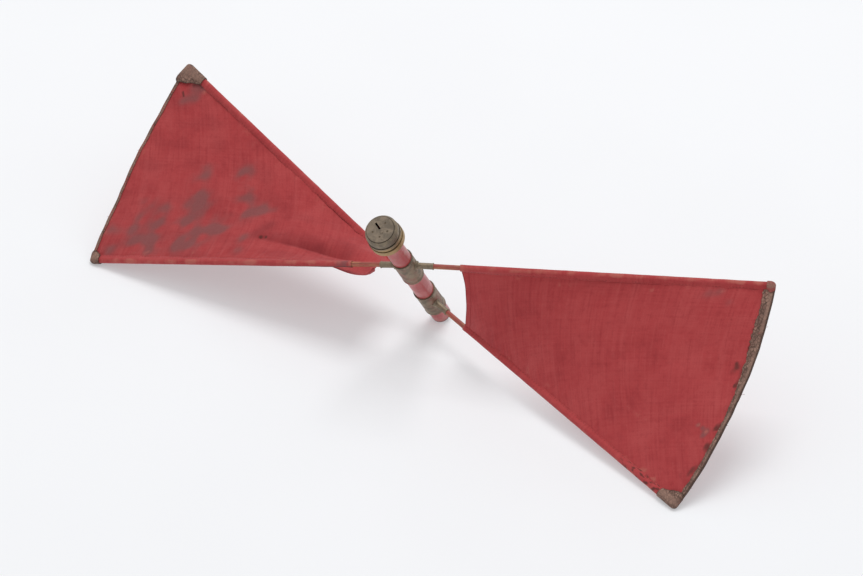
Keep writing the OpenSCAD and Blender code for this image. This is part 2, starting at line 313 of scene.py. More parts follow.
class Recipe:
    """A material's nodes, added and joined one at a time round one Principled shader."""

    def __init__(self, name: str) -> None:
        """Starts an empty material of that name."""
        self.material = bpy.data.materials.new(name)
        self.material.use_nodes = True
        self.tree = self.material.node_tree
        self.tree.nodes.clear()
        self.skin = self.tree.nodes.new("ShaderNodeBsdfPrincipled")
        end = self.tree.nodes.new("ShaderNodeOutputMaterial")
        self.tree.links.new(self.skin.outputs[0], end.inputs["Surface"])

    def feed(self, socket: bpy.types.NodeSocket, value: Feed) -> None:
        """Joins a socket to another, or sets its value."""
        if isinstance(value, bpy.types.NodeSocket):
            self.tree.links.new(value, socket)
        else:
            socket.default_value = value

    def place(self, source: str = "Object", at: Matrix | None = None,
              stretch: tuple[float, float, float] = (1, 1, 1)) -> bpy.types.NodeSocket:
        """Gives coordinates in metres.

        Args:
            source: "Object" for the row frame, or "UV" for the piece's own flat cut.
            at: Where the pattern's own axes stand in the row frame.
            stretch: How many times longer the pattern is along each of its axes.

        Returns:
            The coordinates, with the stretch divided out.
        """
        value = self.tree.nodes.new("ShaderNodeTexCoord").outputs[source]
        if at is not None:
            turn = self.tree.nodes.new("ShaderNodeMapping")
            turn.vector_type = "TEXTURE"
            self.feed(turn.inputs["Vector"], value)
            turn.inputs["Location"].default_value = at.to_translation()
            turn.inputs["Rotation"].default_value = at.to_euler()
            value = turn.outputs[0]
        if tuple(stretch) != (1, 1, 1):
            scale = self.tree.nodes.new("ShaderNodeMapping")
            self.feed(scale.inputs["Vector"], value)
            scale.inputs["Scale"].default_value = [1 / s for s in stretch]
            value = scale.outputs[0]
        return value

    def parts(self, vector: bpy.types.NodeSocket) -> list[bpy.types.NodeSocket]:
        """Splits coordinates into X, Y and Z."""
        split = self.tree.nodes.new("ShaderNodeSeparateXYZ")
        self.feed(split.inputs[0], vector)
        return list(split.outputs)

    def sum(self, operation: str, *values: Feed) -> bpy.types.NodeSocket:
        """Works out one Math node, such as ADD or SINE."""
        node = self.tree.nodes.new("ShaderNodeMath")
        node.operation = operation
        for socket, value in zip(node.inputs, values):
            self.feed(socket, value)
        return node.outputs[0]

    def cloud(self, at: bpy.types.NodeSocket, size: float, detail: float = 3.0, rough: float = 0.55,
              warp: float = 0.0) -> bpy.types.NodeSocket:
        """Gives noise whose largest spots are about size across, in metres."""
        node = self.tree.nodes.new("ShaderNodeTexNoise")
        self.feed(node.inputs["Vector"], at)
        settings = {"Scale": 1 / size, "Detail": detail, "Roughness": rough, "Distortion": warp}
        for key, value in settings.items():
            node.inputs[key].default_value = value
        return node.outputs["Fac"]

    def cells(self, at: bpy.types.NodeSocket, size: float) -> bpy.types.NodeSocket:
        """Gives each point's distance to the edge of its cell, for cells about size across."""
        node = self.tree.nodes.new("ShaderNodeTexVoronoi")
        node.feature = "DISTANCE_TO_EDGE"
        self.feed(node.inputs["Vector"], at)
        node.inputs["Scale"].default_value = 1 / size
        return node.outputs["Distance"]

    def band(self, value: Feed, low: float, high: float, start: float = 0.0,
             end: float = 1.0) -> bpy.types.NodeSocket:
        """Rises smoothly from start to end as value goes from low to high."""
        node = self.tree.nodes.new("ShaderNodeMapRange")
        node.interpolation_type = "SMOOTHSTEP"
        for socket, item in zip(node.inputs, (value, low, high, start, end)):
            self.feed(socket, item)
        return node.outputs[0]

    def mask(self, mark: Mark) -> bpy.types.NodeSocket:
        """Reads one of the piece's own masks."""
        node = self.tree.nodes.new("ShaderNodeAttribute")
        node.attribute_name = mark.value
        return node.outputs["Fac"]

    def over(self, share: Feed, under: Feed, colour: Feed) -> bpy.types.NodeSocket:
        """Lays a colour over another where share is 1."""
        node = self.tree.nodes.new("ShaderNodeMix")
        node.data_type = "RGBA"
        for socket, item in zip((node.inputs[0], node.inputs[6], node.inputs[7]), (share, under, colour)):
            self.feed(socket, item)
        return node.outputs[2]

    def tint(self, under: Feed, paint: Feed, value: Feed, low: float, high: float, share: float = 1.0
             ) -> bpy.types.NodeSocket:
        """Lays a paint over a colour, more of it as value goes from low to high, up to a share."""
        return self.over(self.band(value, low, high, 0, share), under, paint)

    def ragged(self, value: Feed, noise: Feed, share: float) -> bpy.types.NodeSocket:
        """Adds a share of noise, less its middle of a half, so that a mask's edge turns ragged."""
        return self.sum("ADD", value, self.sum("MULTIPLY", self.sum("SUBTRACT", noise, 0.5), share))

    def relief(self, height: Feed, depth: float, under: bpy.types.NodeSocket | None = None
               ) -> bpy.types.NodeSocket:
        """Bumps the surface by a height from 0 to 1 that is depth metres deep."""
        node = self.tree.nodes.new("ShaderNodeBump")
        node.inputs["Strength"].default_value = 1.0
        node.inputs["Distance"].default_value = depth
        self.feed(node.inputs["Height"], height)
        if under is not None:
            self.feed(node.inputs["Normal"], under)
        return node.outputs[0]

    def close(self, colour: Feed, rough: Feed, normal: bpy.types.NodeSocket, **plain: float
              ) -> bpy.types.Material:
        """Feeds the shader and hands the material over.

        Args:
            colour: Base colour.
            rough: Roughness.
            normal: Bumped normal.
            plain: Values that are the same all over, by the shader's own names with _ for a space.

        Returns:
            The finished material.
        """
        self.feed(self.skin.inputs["Base Color"], colour)
        self.feed(self.skin.inputs["Roughness"], rough)
        self.feed(self.skin.inputs["Normal"], normal)
        for key, value in plain.items():
            self.skin.inputs[key.replace("_", " ")].default_value = value
        return self.material


@dataclass(frozen=True)
class DopedCloth:
    """Plain-weave cotton under old red dope: faded in clouds, streaked along its threads, stained, worn pale,
    lit by a painted highlight along the sleeves' crowns and darkened by painted shade in the crease.
    """

    name: str = "faded_red_cloth"
    base: tuple = swatch(172, 59, 61)
    faded: tuple = swatch(182, 75, 75)
    deep: tuple = swatch(150, 44, 48)
    stain: tuple = swatch(134, 76, 76)
    # Pale for wear, and for the painted highlight along the sleeves' crowns.
    rubbed_and_highlight: tuple = swatch(184, 98, 88)
    # Dark for dirt, and for painted shade along the hem's folded edge.
    grime_and_shade: tuple = swatch(92, 44, 40)
    # Dark dope red, painted into the crease as shade.
    fold: tuple = swatch(112, 30, 36)
    thread: float = 0.9 * MM
    weave_depth: float = 0.16 * MM

    def make(self) -> bpy.types.Material:
        """Mixes the cloth: clouds, then thread streaks, then the piece's own masks."""
        r = Recipe(self.name)
        flat = r.place("UV")
        clouds = r.cloud(flat, 70 * MM, 4, 0.6, 0.4)
        fine = r.cloud(flat, 9 * MM, 3, 0.6)
        warp = r.cloud(r.place("UV", stretch=(30, 1, 1)), 2.6 * MM, 2, 0.5)
        weft = r.cloud(r.place("UV", stretch=(1, 22, 1)), 3.0 * MM, 2, 0.5)
        bands = r.cloud(r.place("UV", stretch=(1, 12, 1)), 16 * MM, 2, 0.5)
        colour = r.tint(self.base, self.faded, clouds, 0.4, 0.7, 0.6)
        colour = r.tint(colour, self.deep, clouds, 0.46, 0.26, 0.7)
        colour = r.tint(colour, self.faded, bands, 0.52, 0.7, 0.35)
        threads = r.sum("MULTIPLY_ADD", warp, 0.35, r.sum("MULTIPLY", weft, 0.65))
        colour = r.tint(colour, self.deep, threads, 0.5, 0.34, 0.4)
        colour = r.tint(colour, self.faded, threads, 0.52, 0.68, 0.45)
        colour = r.tint(colour, self.faded, fine, 0.5, 0.8, 0.35)
        colour = r.tint(colour, self.deep, fine, 0.5, 0.25, 0.35)
        # Painted shade in the crease, as the piece's mask gives it.
        colour = r.over(r.sum("MULTIPLY", r.mask(Mark.CREASE_SHADE_AND_DOPE), 0.75), colour, self.fold)
        soft_edge = r.ragged(r.mask(Mark.STAIN), fine, 0.35)
        colour = r.tint(colour, self.stain, soft_edge, 0.05, 1.1, 0.9)
        # Wear, and a painted highlight along the sleeves' crowns, as the piece's mask gives it.
        scuffs_and_highlight = r.ragged(r.mask(Mark.RUB_AND_HIGHLIGHT), fine, 1.1)
        colour = r.tint(colour, self.rubbed_and_highlight, scuffs_and_highlight, 0.3, 0.9, 0.8)
        # Dirt, and painted shade along the hem's folded edge, as the piece's mask gives it.
        dirt_and_shade = r.ragged(r.mask(Mark.GRIME_AND_SHADE), fine, 0.4)
        colour = r.tint(colour, self.grime_and_shade, dirt_and_shade, 0.25, 0.85, 0.85)
        x, y, _ = r.parts(flat)
        rate = 2 * math.pi / self.thread
        crossing = r.sum("MULTIPLY", r.sum("SINE", r.sum("MULTIPLY", x, rate)),
                         r.sum("SINE", r.sum("MULTIPLY", y, rate)))
        weave = r.relief(r.sum("MULTIPLY_ADD", crossing, 0.5, 0.5), self.weave_depth)
        slubs = r.relief(threads, 0.5 * MM, weave)
        normal = r.relief(fine, 0.35 * MM, slubs)
        return r.close(colour, r.band(clouds, 0.2, 0.8, 0.78, 0.9), normal,
                       Sheen_Weight=0.12, Sheen_Roughness=0.5, Specular_IOR_Level=0.25)


@dataclass(frozen=True)
class WornLeather:
    """Brown leather tape, paler where it is worn, dark in its cracks, with painted shade along its folded
    edge.
    """

    name: str = "worn_leather"
    base: tuple = swatch(118, 88, 77)
    pale: tuple = swatch(150, 118, 104)
    dark: tuple = swatch(70, 52, 44)
    red: tuple = swatch(150, 72, 68)

    def make(self) -> bpy.types.Material:
        """Mixes grain, cracks along the tape and traces of red dope."""
        r = Recipe(self.name)
        at = r.place()
        grain = r.cloud(at, 3 * MM, 5, 0.65)
        patch = r.cloud(at, 12 * MM, 4, 0.6, 0.6)
        cracks = r.cells(r.place(stretch=(1.2, 1.6, 1.2)), 3.2 * MM)
        colour = r.tint(self.base, self.pale, patch, 0.42, 0.62)
        colour = r.tint(colour, self.dark, grain, 0.52, 0.34, 0.75)
        colour = r.tint(colour, self.red, patch, 0.4, 0.28, 0.5)
        colour = r.tint(colour, self.dark, cracks, 0.1, 0.0, 0.85)
        painted = r.ragged(r.mask(Mark.CREASE_SHADE_AND_DOPE), patch, 1.2)
        colour = r.tint(colour, self.red, painted, 0.25, 0.8, 0.8)
        colour = r.tint(colour, self.pale, r.mask(Mark.RUB_AND_HIGHLIGHT), 0.2, 0.9, 0.65)
        # Dark for dirt, and for painted shade along the tape's folded edge, as the piece's mask gives it.
        colour = r.tint(colour, self.dark, r.mask(Mark.GRIME_AND_SHADE), 0.2, 0.9, 0.9)
        normal = r.relief(grain, 0.5 * MM, r.relief(r.band(cracks, 0.0, 0.12), 0.3 * MM))
        return r.close(colour, r.band(patch, 0.3, 0.7, 0.6, 0.8), normal, Specular_IOR_Level=0.3)


@dataclass(frozen=True)
class Thread:
    """Dull waxed sewing thread with a fine twist."""

    name: str
    base: tuple
    dark: tuple

    def make(self) -> bpy.types.Material:
        """Mixes two thread colours and a fine twist."""
        r = Recipe(self.name)
        twist = r.cloud(r.place(), 0.8 * MM, 2, 0.5)
        colour = r.tint(self.base, self.dark, twist, 0.35, 0.65)
        return r.close(colour, 0.8, r.relief(twist, 0.1 * MM), Specular_IOR_Level=0.2)


@dataclass(frozen=True)
class RubbedPaint:
    """Old red paint on a brass tube, pale with handling, scratched along the tube and gone in chips."""

    at: Matrix
    name: str = "rubbed_red_paint"
    base: tuple = swatch(164, 56, 57)
    pale: tuple = swatch(188, 102, 100)
    deep: tuple = swatch(128, 36, 42)
    bare: tuple = swatch(134, 112, 84)
    rim: tuple = swatch(84, 44, 38)

    def make(self) -> bpy.types.Material:
        """Mixes clouds, lengthwise scratches and chips."""
        r = Recipe(self.name)
        at = r.place(at=self.at)
        clouds = r.cloud(at, 26 * MM, 4, 0.6)
        streaks = r.cloud(r.place(at=self.at, stretch=(1, 1, 9)), 4 * MM, 4, 0.6)
        chips = r.cloud(at, 7 * MM, 6, 0.7, 0.3)
        smudges = r.cloud(at, 13 * MM, 4, 0.6)
        colour = r.tint(self.base, self.pale, clouds, 0.42, 0.62, 0.8)
        colour = r.tint(colour, self.bare, smudges, 0.54, 0.72, 0.6)
        colour = r.tint(colour, self.deep, streaks, 0.46, 0.3, 0.35)
        colour = r.tint(colour, self.pale, streaks, 0.55, 0.75, 0.5)
        colour = r.tint(colour, self.bare, chips, 0.66, 0.7, 0.85)
        colour = r.tint(colour, self.rim, r.parts(at)[2], 2.6 * MM, 1.6 * MM, 0.75)
        normal = r.relief(r.band(chips, 0.7, 0.66), 0.12 * MM, r.relief(streaks, 0.15 * MM))
        return r.close(colour, r.band(streaks, 0.3, 0.7, 0.34, 0.46), normal, Coat_Weight=0.35,
                       Coat_Roughness=0.3)


@dataclass(frozen=True)
class OldBrass:
    """Turned brass under a dull brown-green patina, with lathe lines, brighter grooves and dark pits."""

    name: str
    at: Matrix
    base: tuple = swatch(140, 125, 104)
    bright: tuple = swatch(168, 138, 92)
    dull: tuple = swatch(114, 103, 88)
    dark: tuple = swatch(56, 46, 38)
    trace: tuple = swatch(146, 66, 64)
    line_share: float = 0.5
    bright_low: float = 0.0
    bright_high: float = 0.0
    trace_share: float = 0.0
    grooves: tuple[tuple[float, float], ...] = ()
    rings: tuple[tuple[float, float], ...] = ()
    groove_soft: float = 0.4 * MM
    groove_share: float = 0.8

    def make(self) -> bpy.types.Material:
        """Mixes patina clouds, lathe lines along the axis, dark groove floors, painted shade at a collar's
        top edge and traces of paint.
        """
        r = Recipe(self.name)
        at = r.place(at=self.at)
        clouds = r.cloud(at, 14 * MM, 5, 0.62, 0.5)
        pits = r.cloud(at, 2.2 * MM, 4, 0.7)
        lines = r.cloud(r.place(at=self.at, stretch=(60, 60, 1)), 1.1 * MM, 3, 0.6)
        height = r.parts(at)[2]
        colour = r.tint(self.base, self.dull, clouds, 0.4, 0.62)
        if self.bright_high > self.bright_low:
            lit = r.band(height, self.bright_high, self.bright_low)
            share = r.sum("MULTIPLY", lit, r.band(clouds, 0.66, 0.44, 0.25, 0.95))
            colour = r.over(share, colour, self.bright)
        colour = r.tint(colour, self.dark, lines, 0.48, 0.28, self.line_share)
        colour = r.tint(colour, self.dark, pits, 0.64, 0.74, 0.8)
        if self.trace_share > 0:
            smear = r.cloud(at, 24 * MM, 3, 0.5)
            edge = 0.6 - 0.3 * self.trace_share
            colour = r.tint(colour, self.trace, smear, edge, edge + 0.3, 0.62)
        # Each band is laid dark: groove floors on the head; on a collar the one band is painted shade along
        # its top edge, where it meets the tube.
        for low, high in self.grooves:
            colour = r.over(self.inside(r, height, low, high), colour, self.dark)
        if self.rings:
            x, y, _ = r.parts(at)
            radius = r.sum("SQRT", r.sum("ADD", r.sum("MULTIPLY", x, x), r.sum("MULTIPLY", y, y)))
            for low, high in self.rings:
                colour = r.over(self.inside(r, radius, low, high), colour, self.dark)
        normal = r.relief(lines, 0.12 * MM, r.relief(pits, 0.25 * MM))
        return r.close(colour, r.band(clouds, 0.3, 0.7, 0.42, 0.6), normal, Metallic=0.55)

    def inside(self, r: Recipe, value: Feed, low: float, high: float) -> bpy.types.NodeSocket:
        """Gives the share of dark between two values, with soft sides."""
        rise = r.band(value, low - self.groove_soft, low + self.groove_soft)
        fall = r.band(value, high + self.groove_soft, high - self.groove_soft)
        return r.sum("MULTIPLY", r.sum("MULTIPLY", rise, fall), self.groove_share)


@dataclass(frozen=True)
class WornWood:
    """A turned rod whose red paint has worn down to orange-brown wood."""

    name: str
    at: Matrix
    paint: tuple = swatch(158, 72, 64)
    wood: tuple = swatch(168, 108, 78)
    dark: tuple = swatch(98, 58, 48)

    def make(self) -> bpy.types.Material:
        """Mixes long grain, bare patches and dark handling marks."""
        r = Recipe(self.name)
        grain = r.cloud(r.place(at=self.at, stretch=(1, 1, 24)), 1.6 * MM, 4, 0.6)
        patches = r.cloud(r.place(at=self.at, stretch=(1, 1, 3)), 8 * MM, 4, 0.6, 0.4)
        colour = r.tint(self.paint, self.wood, patches, 0.4, 0.6)
        colour = r.tint(colour, self.dark, grain, 0.5, 0.3, 0.7)
        return r.close(colour, r.band(patches, 0.3, 0.7, 0.5, 0.68), r.relief(grain, 0.3 * MM))


@dataclass(frozen=True)
class RustedIron:
    """Small dark iron heads, pitted."""

    name: str = "rusted_iron"
    base: tuple = swatch(98, 87, 72)
    rust: tuple = swatch(112, 94, 72)

    def make(self) -> bpy.types.Material:
        """Mixes rust, pits and dirt."""
        r = Recipe(self.name)
        pits = r.cloud(r.place(), 1.2 * MM, 4, 0.7)
        colour = r.tint(self.base, self.rust, pits, 0.4, 0.65)
        return r.close(colour, 0.7, r.relief(pits, 0.2 * MM), Metallic=0.4)


@dataclass(frozen=True)
class PaleFloor:
    """A plain pale studio floor with the faintest unevenness, lit a little from below like a light table."""

    name: str = "pale_floor"
    base: tuple = swatch(206, 207, 209)
    shade: tuple = swatch(205, 206, 208)
    glow: float = 0.305

    def make(self) -> bpy.types.Material:
        """Mixes two close whites."""
        r = Recipe(self.name)
        clouds = r.cloud(r.place(), 0.4, 2, 0.5)
        colour = r.tint(self.base, self.shade, clouds, 0.4, 0.6)
        r.skin.inputs["Emission Color"].default_value = swatch(247, 248, 251)
        return r.close(colour, 0.9, r.relief(clouds, 0.1 * MM), Specular_IOR_Level=0.1,
                       Emission_Strength=self.glow)


def dress(piece: bpy.types.Object, material: bpy.types.Material) -> None:
    """Gives every face of a piece one material, in place of any it has."""
    piece.data.materials.clear()
    piece.data.materials.append(material)


def dress_node(name: str, material: bpy.types.Material) -> None:
    """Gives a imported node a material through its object's own slots, so that its mesh stays as packed."""
    node = frame["nodes"][name]
    if not node.material_slots:
        node.data.materials.append(None)
    for holder in node.material_slots:
        holder.link = "OBJECT"
        holder.material = material
    log.info("dressed %s with %s", name, material.name)


# ------------------------------------------------------------------------------ the frame's lines


def node_points(name: str) -> np.ndarray:
    """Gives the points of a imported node's mesh, as n rows of three."""
    mesh = frame["nodes"][name].data
    flat = np.zeros(len(mesh.vertices) * 3, np.float32)
    mesh.vertices.foreach_get("co", flat)
    return flat.reshape(-1, 3).astype(float)


@dataclass(frozen=True)
class Axis:
    """A straight line with a start and a unit direction."""

    start: np.ndarray
    along: np.ndarray

    def at(self, reach: np.ndarray | float) -> np.ndarray:
        """Gives the points at those distances from the start."""
        return self.start + np.multiply.outer(np.asarray(reach, float), self.along)

    def reaches(self, name: str) -> tuple[float, float]:
        """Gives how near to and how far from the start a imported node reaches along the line."""
        along = (node_points(name) - self.start) @ self.along
        return float(along.min()), float(along.max())

    def matrix(self) -> Matrix:
        """Gives axes at the start whose Z runs along the line, for a pattern that follows it."""
        side = unit(np.cross(np.array([0.0, 0.0, 1.0]), self.along))
        front = np.cross(self.along, side)
        turn = Matrix([list(row) for row in np.stack([side, front, self.along], axis=1)])
        return Matrix.Translation(Vector(self.start)) @ turn.to_4x4()


def staff_axis() -> Axis:
    """Finds the staff's line, from the turning joint, starting at the foot."""
    joint = next(j for j in frame["joints"] if j["name"] == "arms_turn")
    through, along = np.array(joint["pos_m"], float), unit(np.array(joint["axis"], float))
    foot = ((node_points("staff_tube") - through) @ along).min()
    return Axis(through + foot * along, along)


def rod_axis(name: str, staff: Axis) -> Axis:
    """Finds a rod's line as the direction in which its points spread most.

    Args:
        name: The rod's node.
        staff: The staff's line.

    Returns:
        The line, which starts where it passes the staff and runs outwards.
    """
    points = node_points(name)
    middle = (points.min(0) + points.max(0)) / 2
    along = np.linalg.svd(points - points.mean(0), full_matrices=False)[2][0]
    away = middle - staff.at((middle - staff.start) @ staff.along)
    along = along * np.sign(along @ away)
    middle = points.mean(0)
    across = np.stack([along, -staff.along], axis=1)
    back = np.linalg.lstsq(across, staff.start - middle, rcond=None)[0][0]
    return Axis(middle + back * along, along)


# ------------------------------------------------------------------------------ the fans


FLAT_SHARE = 0.34


def wrap_outline(radius: np.ndarray, flap: np.ndarray, lift: np.ndarray, share: np.ndarray) -> np.ndarray:
    """Works out how cloth or leather wraps a rod: round it at a radius, then flat on both faces of the fan.

    Seen along the rod, the mid-line of the wrap is a circle and its two tangents to the ends of the flaps.

    Args:
        radius: Radius round the rod at each station.
        flap: How far the flaps reach from the rod's axis at each station.
        lift: How far the flaps' ends lie above and below the fan's middle at each station.
        share: Places along the mid-line, from 0 at the upper flap's end to 1 at the lower one's.

    Returns:
        Stations by shares by 2: how far inwards and how far upwards each point lies.
    """
    radius, flap, lift = (np.asarray(a, float)[:, None] for a in (radius, flap, lift))
    far = np.hypot(flap, lift)
    touch = np.arctan2(lift, flap) + np.arccos(np.clip(radius / far, -1, 1))
    mirror = np.where(share > 0.5, -1.0, 1.0)[None]
    half = np.minimum(share, 1 - share)[None]
    down = np.clip(half / FLAT_SHARE, 0, 1)
    turn = touch + (np.pi - touch) * np.clip((half - FLAT_SHARE) / (0.5 - FLAT_SHARE), 0, 1)
    flat = half <= FLAT_SHARE
    inwards = np.where(flat, flap + (radius * np.cos(touch) - flap) * down, radius * np.cos(turn))
    upwards = np.where(flat, lift + (radius * np.sin(touch) - lift) * down, radius * np.sin(turn))
    return np.stack([inwards, upwards * mirror], axis=-1)


@dataclass
class Fan:
    """One cloth fan on its two rods: the panel, its sleeves, hem, leather edge, corners and stitching.

    The panel is a ruled surface: straight lines join points of the upper and the lower rod that are equally
    far from the staff. A place on it is that distance, and the share of the way from the upper rod down.
    """

    side: Side
    staff: Axis
    upper: Axis
    lower: Axis
    overhang: float = 6 * MM
    bulge: float = 17 * MM
    inner_bulge: float = 5 * MM
    cloth_thick: float = 0.9 * MM
    skin_thick: float = 0.7 * MM
    sleeve_thick: float = 0.5 * MM
    sleeve_radius: float = 3.9 * MM
    upper_flap: float = 6.5 * MM
    lower_flap: float = 6 * MM
    binding_width: float = 13 * MM
    binding_low_width: float = 5.5 * MM
    binding_half: float = 1.15 * MM
    hem_width: float = 7 * MM
    fold_half_width: float = 42 * MM
    tuck: float = 5 * MM
    hem_thick: float = 0.3 * MM
    upper_corner: tuple[float, float] = (3.5 * MM, 3 * MM)
    lower_corner: tuple[float, float] = (24 * MM, 11 * MM)
    corner_paint: tuple[float, float] = (1.0, 0.0)
    edge_paint: float = 0.0
    # Paleness along a sleeve's crown: partly wear, partly a painted highlight.
    crown_rub_and_highlight: float = 0.75
    droop: float = 2.6 * MM
    wave_height: float = 1.1 * MM
    fine_wave_height: float = 0.35 * MM
    pucker_height: float = 0.3 * MM
    pucker_pitch: float = 17 * MM
    ripple_height: float = 0.5 * MM
    ripple_pitch: float = 31 * MM
    corner_radius: float = 5.0 * MM
    corner_past: float = 0.9 * MM
    corner_gap: float = 0.15 * MM
    mouth_length: float = 9 * MM
    mouth_flare: float = 0.25 * MM
    cut_back: float = 0.6 * MM
    stitch_pitch: float = 4.2 * MM
    stitch: tuple[float, float, float] = (2.8 * MM, 0.5 * MM, 0.45 * MM)
    edge_stitch: tuple[float, float, float] = (2.4 * MM, 0.5 * MM, 0.45 * MM)
    thread_places: tuple[float, ...] = (0.18, 0.47, 0.61, 0.9)
    thread_radius: float = 0.16 * MM
    rows: int = 230
    columns: int = 140
    seed: int = 10

    def rod(self, tier: Tier) -> Axis:
        """Gives one of the two rods' lines."""
        return self.upper if tier is Tier.UPPER else self.lower

    def node(self, tier: Tier, what: str) -> str:
        """Names one of the fan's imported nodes."""
        return f"{tier.value}_{self.side.value}_{what}"

    @property
    def start(self) -> float:
        """How far from the staff the sleeves begin."""
        return self.upper.reaches(self.node(Tier.UPPER, "sleeve"))[0]

    @property
    def rod_end(self) -> float:
        """How far from the staff the rods end."""
        return self.upper.reaches(self.node(Tier.UPPER, "rod"))[1]

    @property
    def reach(self) -> float:
        """How far from the staff the cloth's outer edge lies, at a rod."""
        return self.rod_end + self.overhang

    def sleeve_start(self, tier: Tier) -> float:
        """Gives how far from the staff a sleeve begins."""
        return self.start - 1.5 * MM

    def outer(self, v: np.ndarray) -> np.ndarray:
        """Gives the outer edge's distance from the staff: a parabola that bulges between the rods."""
        return self.reach + self.bulge * 4 * v * (1 - v)

    def inner(self, v: np.ndarray) -> np.ndarray:
        """Gives the inner edge's distance from the staff: a parabola hollowed between the rods."""
        return self.start + self.inner_bulge * 4 * v * (1 - v)

    def flap(self, tier: Tier) -> float:
        """Gives how far a sleeve's flaps reach from its rod."""
        return self.upper_flap if tier is Tier.UPPER else self.lower_flap

    def flap_line(self, tier: Tier, r: np.ndarray) -> np.ndarray:
        """Gives how far a sleeve's flaps reach from its rod at each distance from the staff."""
        return np.full_like(r, self.flap(tier))

    def first(self, r: np.ndarray) -> np.ndarray:
        """Gives how far from the upper rod the panel begins: tucked into its sleeve."""
        return np.full_like(r, self.tuck)

    def width(self, r: np.ndarray) -> np.ndarray:
        """Gives how far apart the rods are at a distance from the staff."""
        return np.linalg.norm(self.upper.at(r) - self.lower.at(r), axis=-1)

    def across(self, r: np.ndarray, v: np.ndarray) -> np.ndarray:
        """Gives how far from the upper rod a place lies, along its straight line."""
        return v * self.width(r)

    def sag(self, r: np.ndarray, v: np.ndarray) -> np.ndarray:
        """Gives how far the cloth stands out of the ruled surface: a droop, swells and seam puckers."""
        free = 4 * np.clip(v, 0, 1) * (1 - np.clip(v, 0, 1))
        y = self.across(r, v)
        droop = -self.droop * free * ease(r, self.start, self.reach)
        waves = self.wave_height * swell(r, y, 120 * MM, self.seed)
        waves = waves + self.fine_wave_height * swell(r, y, 34 * MM, self.seed + 1)
        edge = np.minimum(y, self.width(r) - y)
        phase = 2 * swell(r, y, 60 * MM, self.seed + 2)
        pucker = self.pucker_height * np.sin(2 * np.pi * r / self.pucker_pitch + phase)
        seam = ease(edge, 30 * MM, 14 * MM) * ease(edge, 3 * MM, 9 * MM)
        rim = ease(self.outer(v) - r, 26 * MM, 10 * MM)
        phase = swell(y, r, 90 * MM, self.seed + 3)
        ripple = self.ripple_height * rim * np.sin(2 * np.pi * y / self.ripple_pitch + phase)
        return droop + waves * np.sqrt(free) + pucker * seam + ripple * free

    def place(self, r: np.ndarray, v: np.ndarray, lift: np.ndarray | float = 0.0) -> np.ndarray:
        """Gives points of the fan.

        Args:
            r: Distances from the staff along the rods.
            v: Shares of the way from the upper rod to the lower one.
            lift: How far above the cloth's middle each point lies.

        Returns:
            The points, on the last axis.
        """
        r, v = np.broadcast_arrays(np.asarray(r, float), np.asarray(v, float))
        share = v[..., None]
        ruled = self.upper.at(r) * (1 - share) + self.lower.at(r) * share
        return ruled + self.normal(r, v) * (self.sag(r, v) + lift)[..., None]

    def normal(self, r: np.ndarray, v: np.ndarray) -> np.ndarray:
        """Gives the ruled surface's upward normal: the cross product of its two edge directions."""
        share = v[..., None]
        out = self.upper.along * (1 - share) + self.lower.along * share
        over = self.lower.at(r) - self.upper.at(r)
        cross = unit(np.cross(out, over))
        return cross * np.sign(cross @ self.staff.along)[..., None]

    def flat(self, r: np.ndarray, v: np.ndarray) -> np.ndarray:
        """Gives places on the flat cut, as a sector along the upper rod: a distance, turned by v."""
        opening = math.acos(float(np.clip(self.upper.along @ self.lower.along, -1, 1)))
        turn = v * opening
        return np.stack([r * np.cos(turn), r * np.sin(turn)], axis=-1)

    def fold_line(self) -> tuple[Vector, Vector]:
        """Gives two points either side of the rods' starts, on a line across the arms."""
        middle = unit(self.upper.along + self.lower.along)
        over = self.upper.along - self.lower.along
        over = unit(over - (over @ middle) * middle)
        centre = (self.upper.start + self.lower.start) / 2
        return (Vector(centre - over * self.fold_half_width), Vector(centre + over * self.fold_half_width))

    def soft(self, piece: bpy.types.Object, slot: str, *nodes: str) -> bpy.types.Object:
        """Bakes a piece's placing into its mesh and hides the nodes that it stands for."""
        low, high = self.fold_line()
        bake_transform(piece)
        return self.name_slot(piece, slot, *nodes)

    @staticmethod
    def name_slot(piece: bpy.types.Object, slot: str, *nodes: str) -> bpy.types.Object:
        """Hides the nodes that a piece stands for and logs how many points it has."""
        if nodes:
            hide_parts(*nodes)
        log.info("made %s: %d points", piece.name, len(piece.data.vertices))
        return piece

    # ---- the cloth

    def stains(self, r: np.ndarray, y: np.ndarray, v: np.ndarray) -> dict[Mark, np.ndarray]:
        """Paints the panel's masks: worn borders, dirt by the leather, and this fan's own marks."""
        raise NotImplementedError

    def panel(self, cloth: bpy.types.Material) -> bpy.types.Object:
        """Makes the panel: the ruled surface with its sag, on a grid from the inner to the outer edge."""
        s, v = np.meshgrid(np.linspace(0, 1, self.rows), np.linspace(0, 1, self.columns), indexing="ij")
        inner, outer = self.inner(v), self.outer(v) - self.cut_back
        r = inner + (outer - inner) * s
        low, high = self.first(r) / self.width(r), 1 - self.tuck / self.width(r)
        v = low + (high - low) * v
        name = f"{self.side.value}_fan_cloth"
        piece = add_sheet(name, self.place(r, v), self.flat(r, v), self.cloth_thick)
        set_marks(piece, self.stains(r, self.across(r, v), v))
        dress(piece, cloth)
        return self.soft(piece, "fan_cloth", f"{self.side.value}_cloth")

    def guides(self, tier: Tier, r: np.ndarray) -> tuple[np.ndarray, np.ndarray]:
        """Gives the directions square to a rod at each station: in towards the other rod, and up."""
        rod = self.rod(tier)
        inwards = self.rod(Tier.LOWER if tier is Tier.UPPER else Tier.UPPER).at(r) - rod.at(r)
        inwards = unit(inwards - (inwards @ rod.along)[:, None] * rod.along)
        upwards = np.cross(rod.along, inwards)
        return inwards, upwards * np.sign(upwards @ self.staff.along)[:, None]

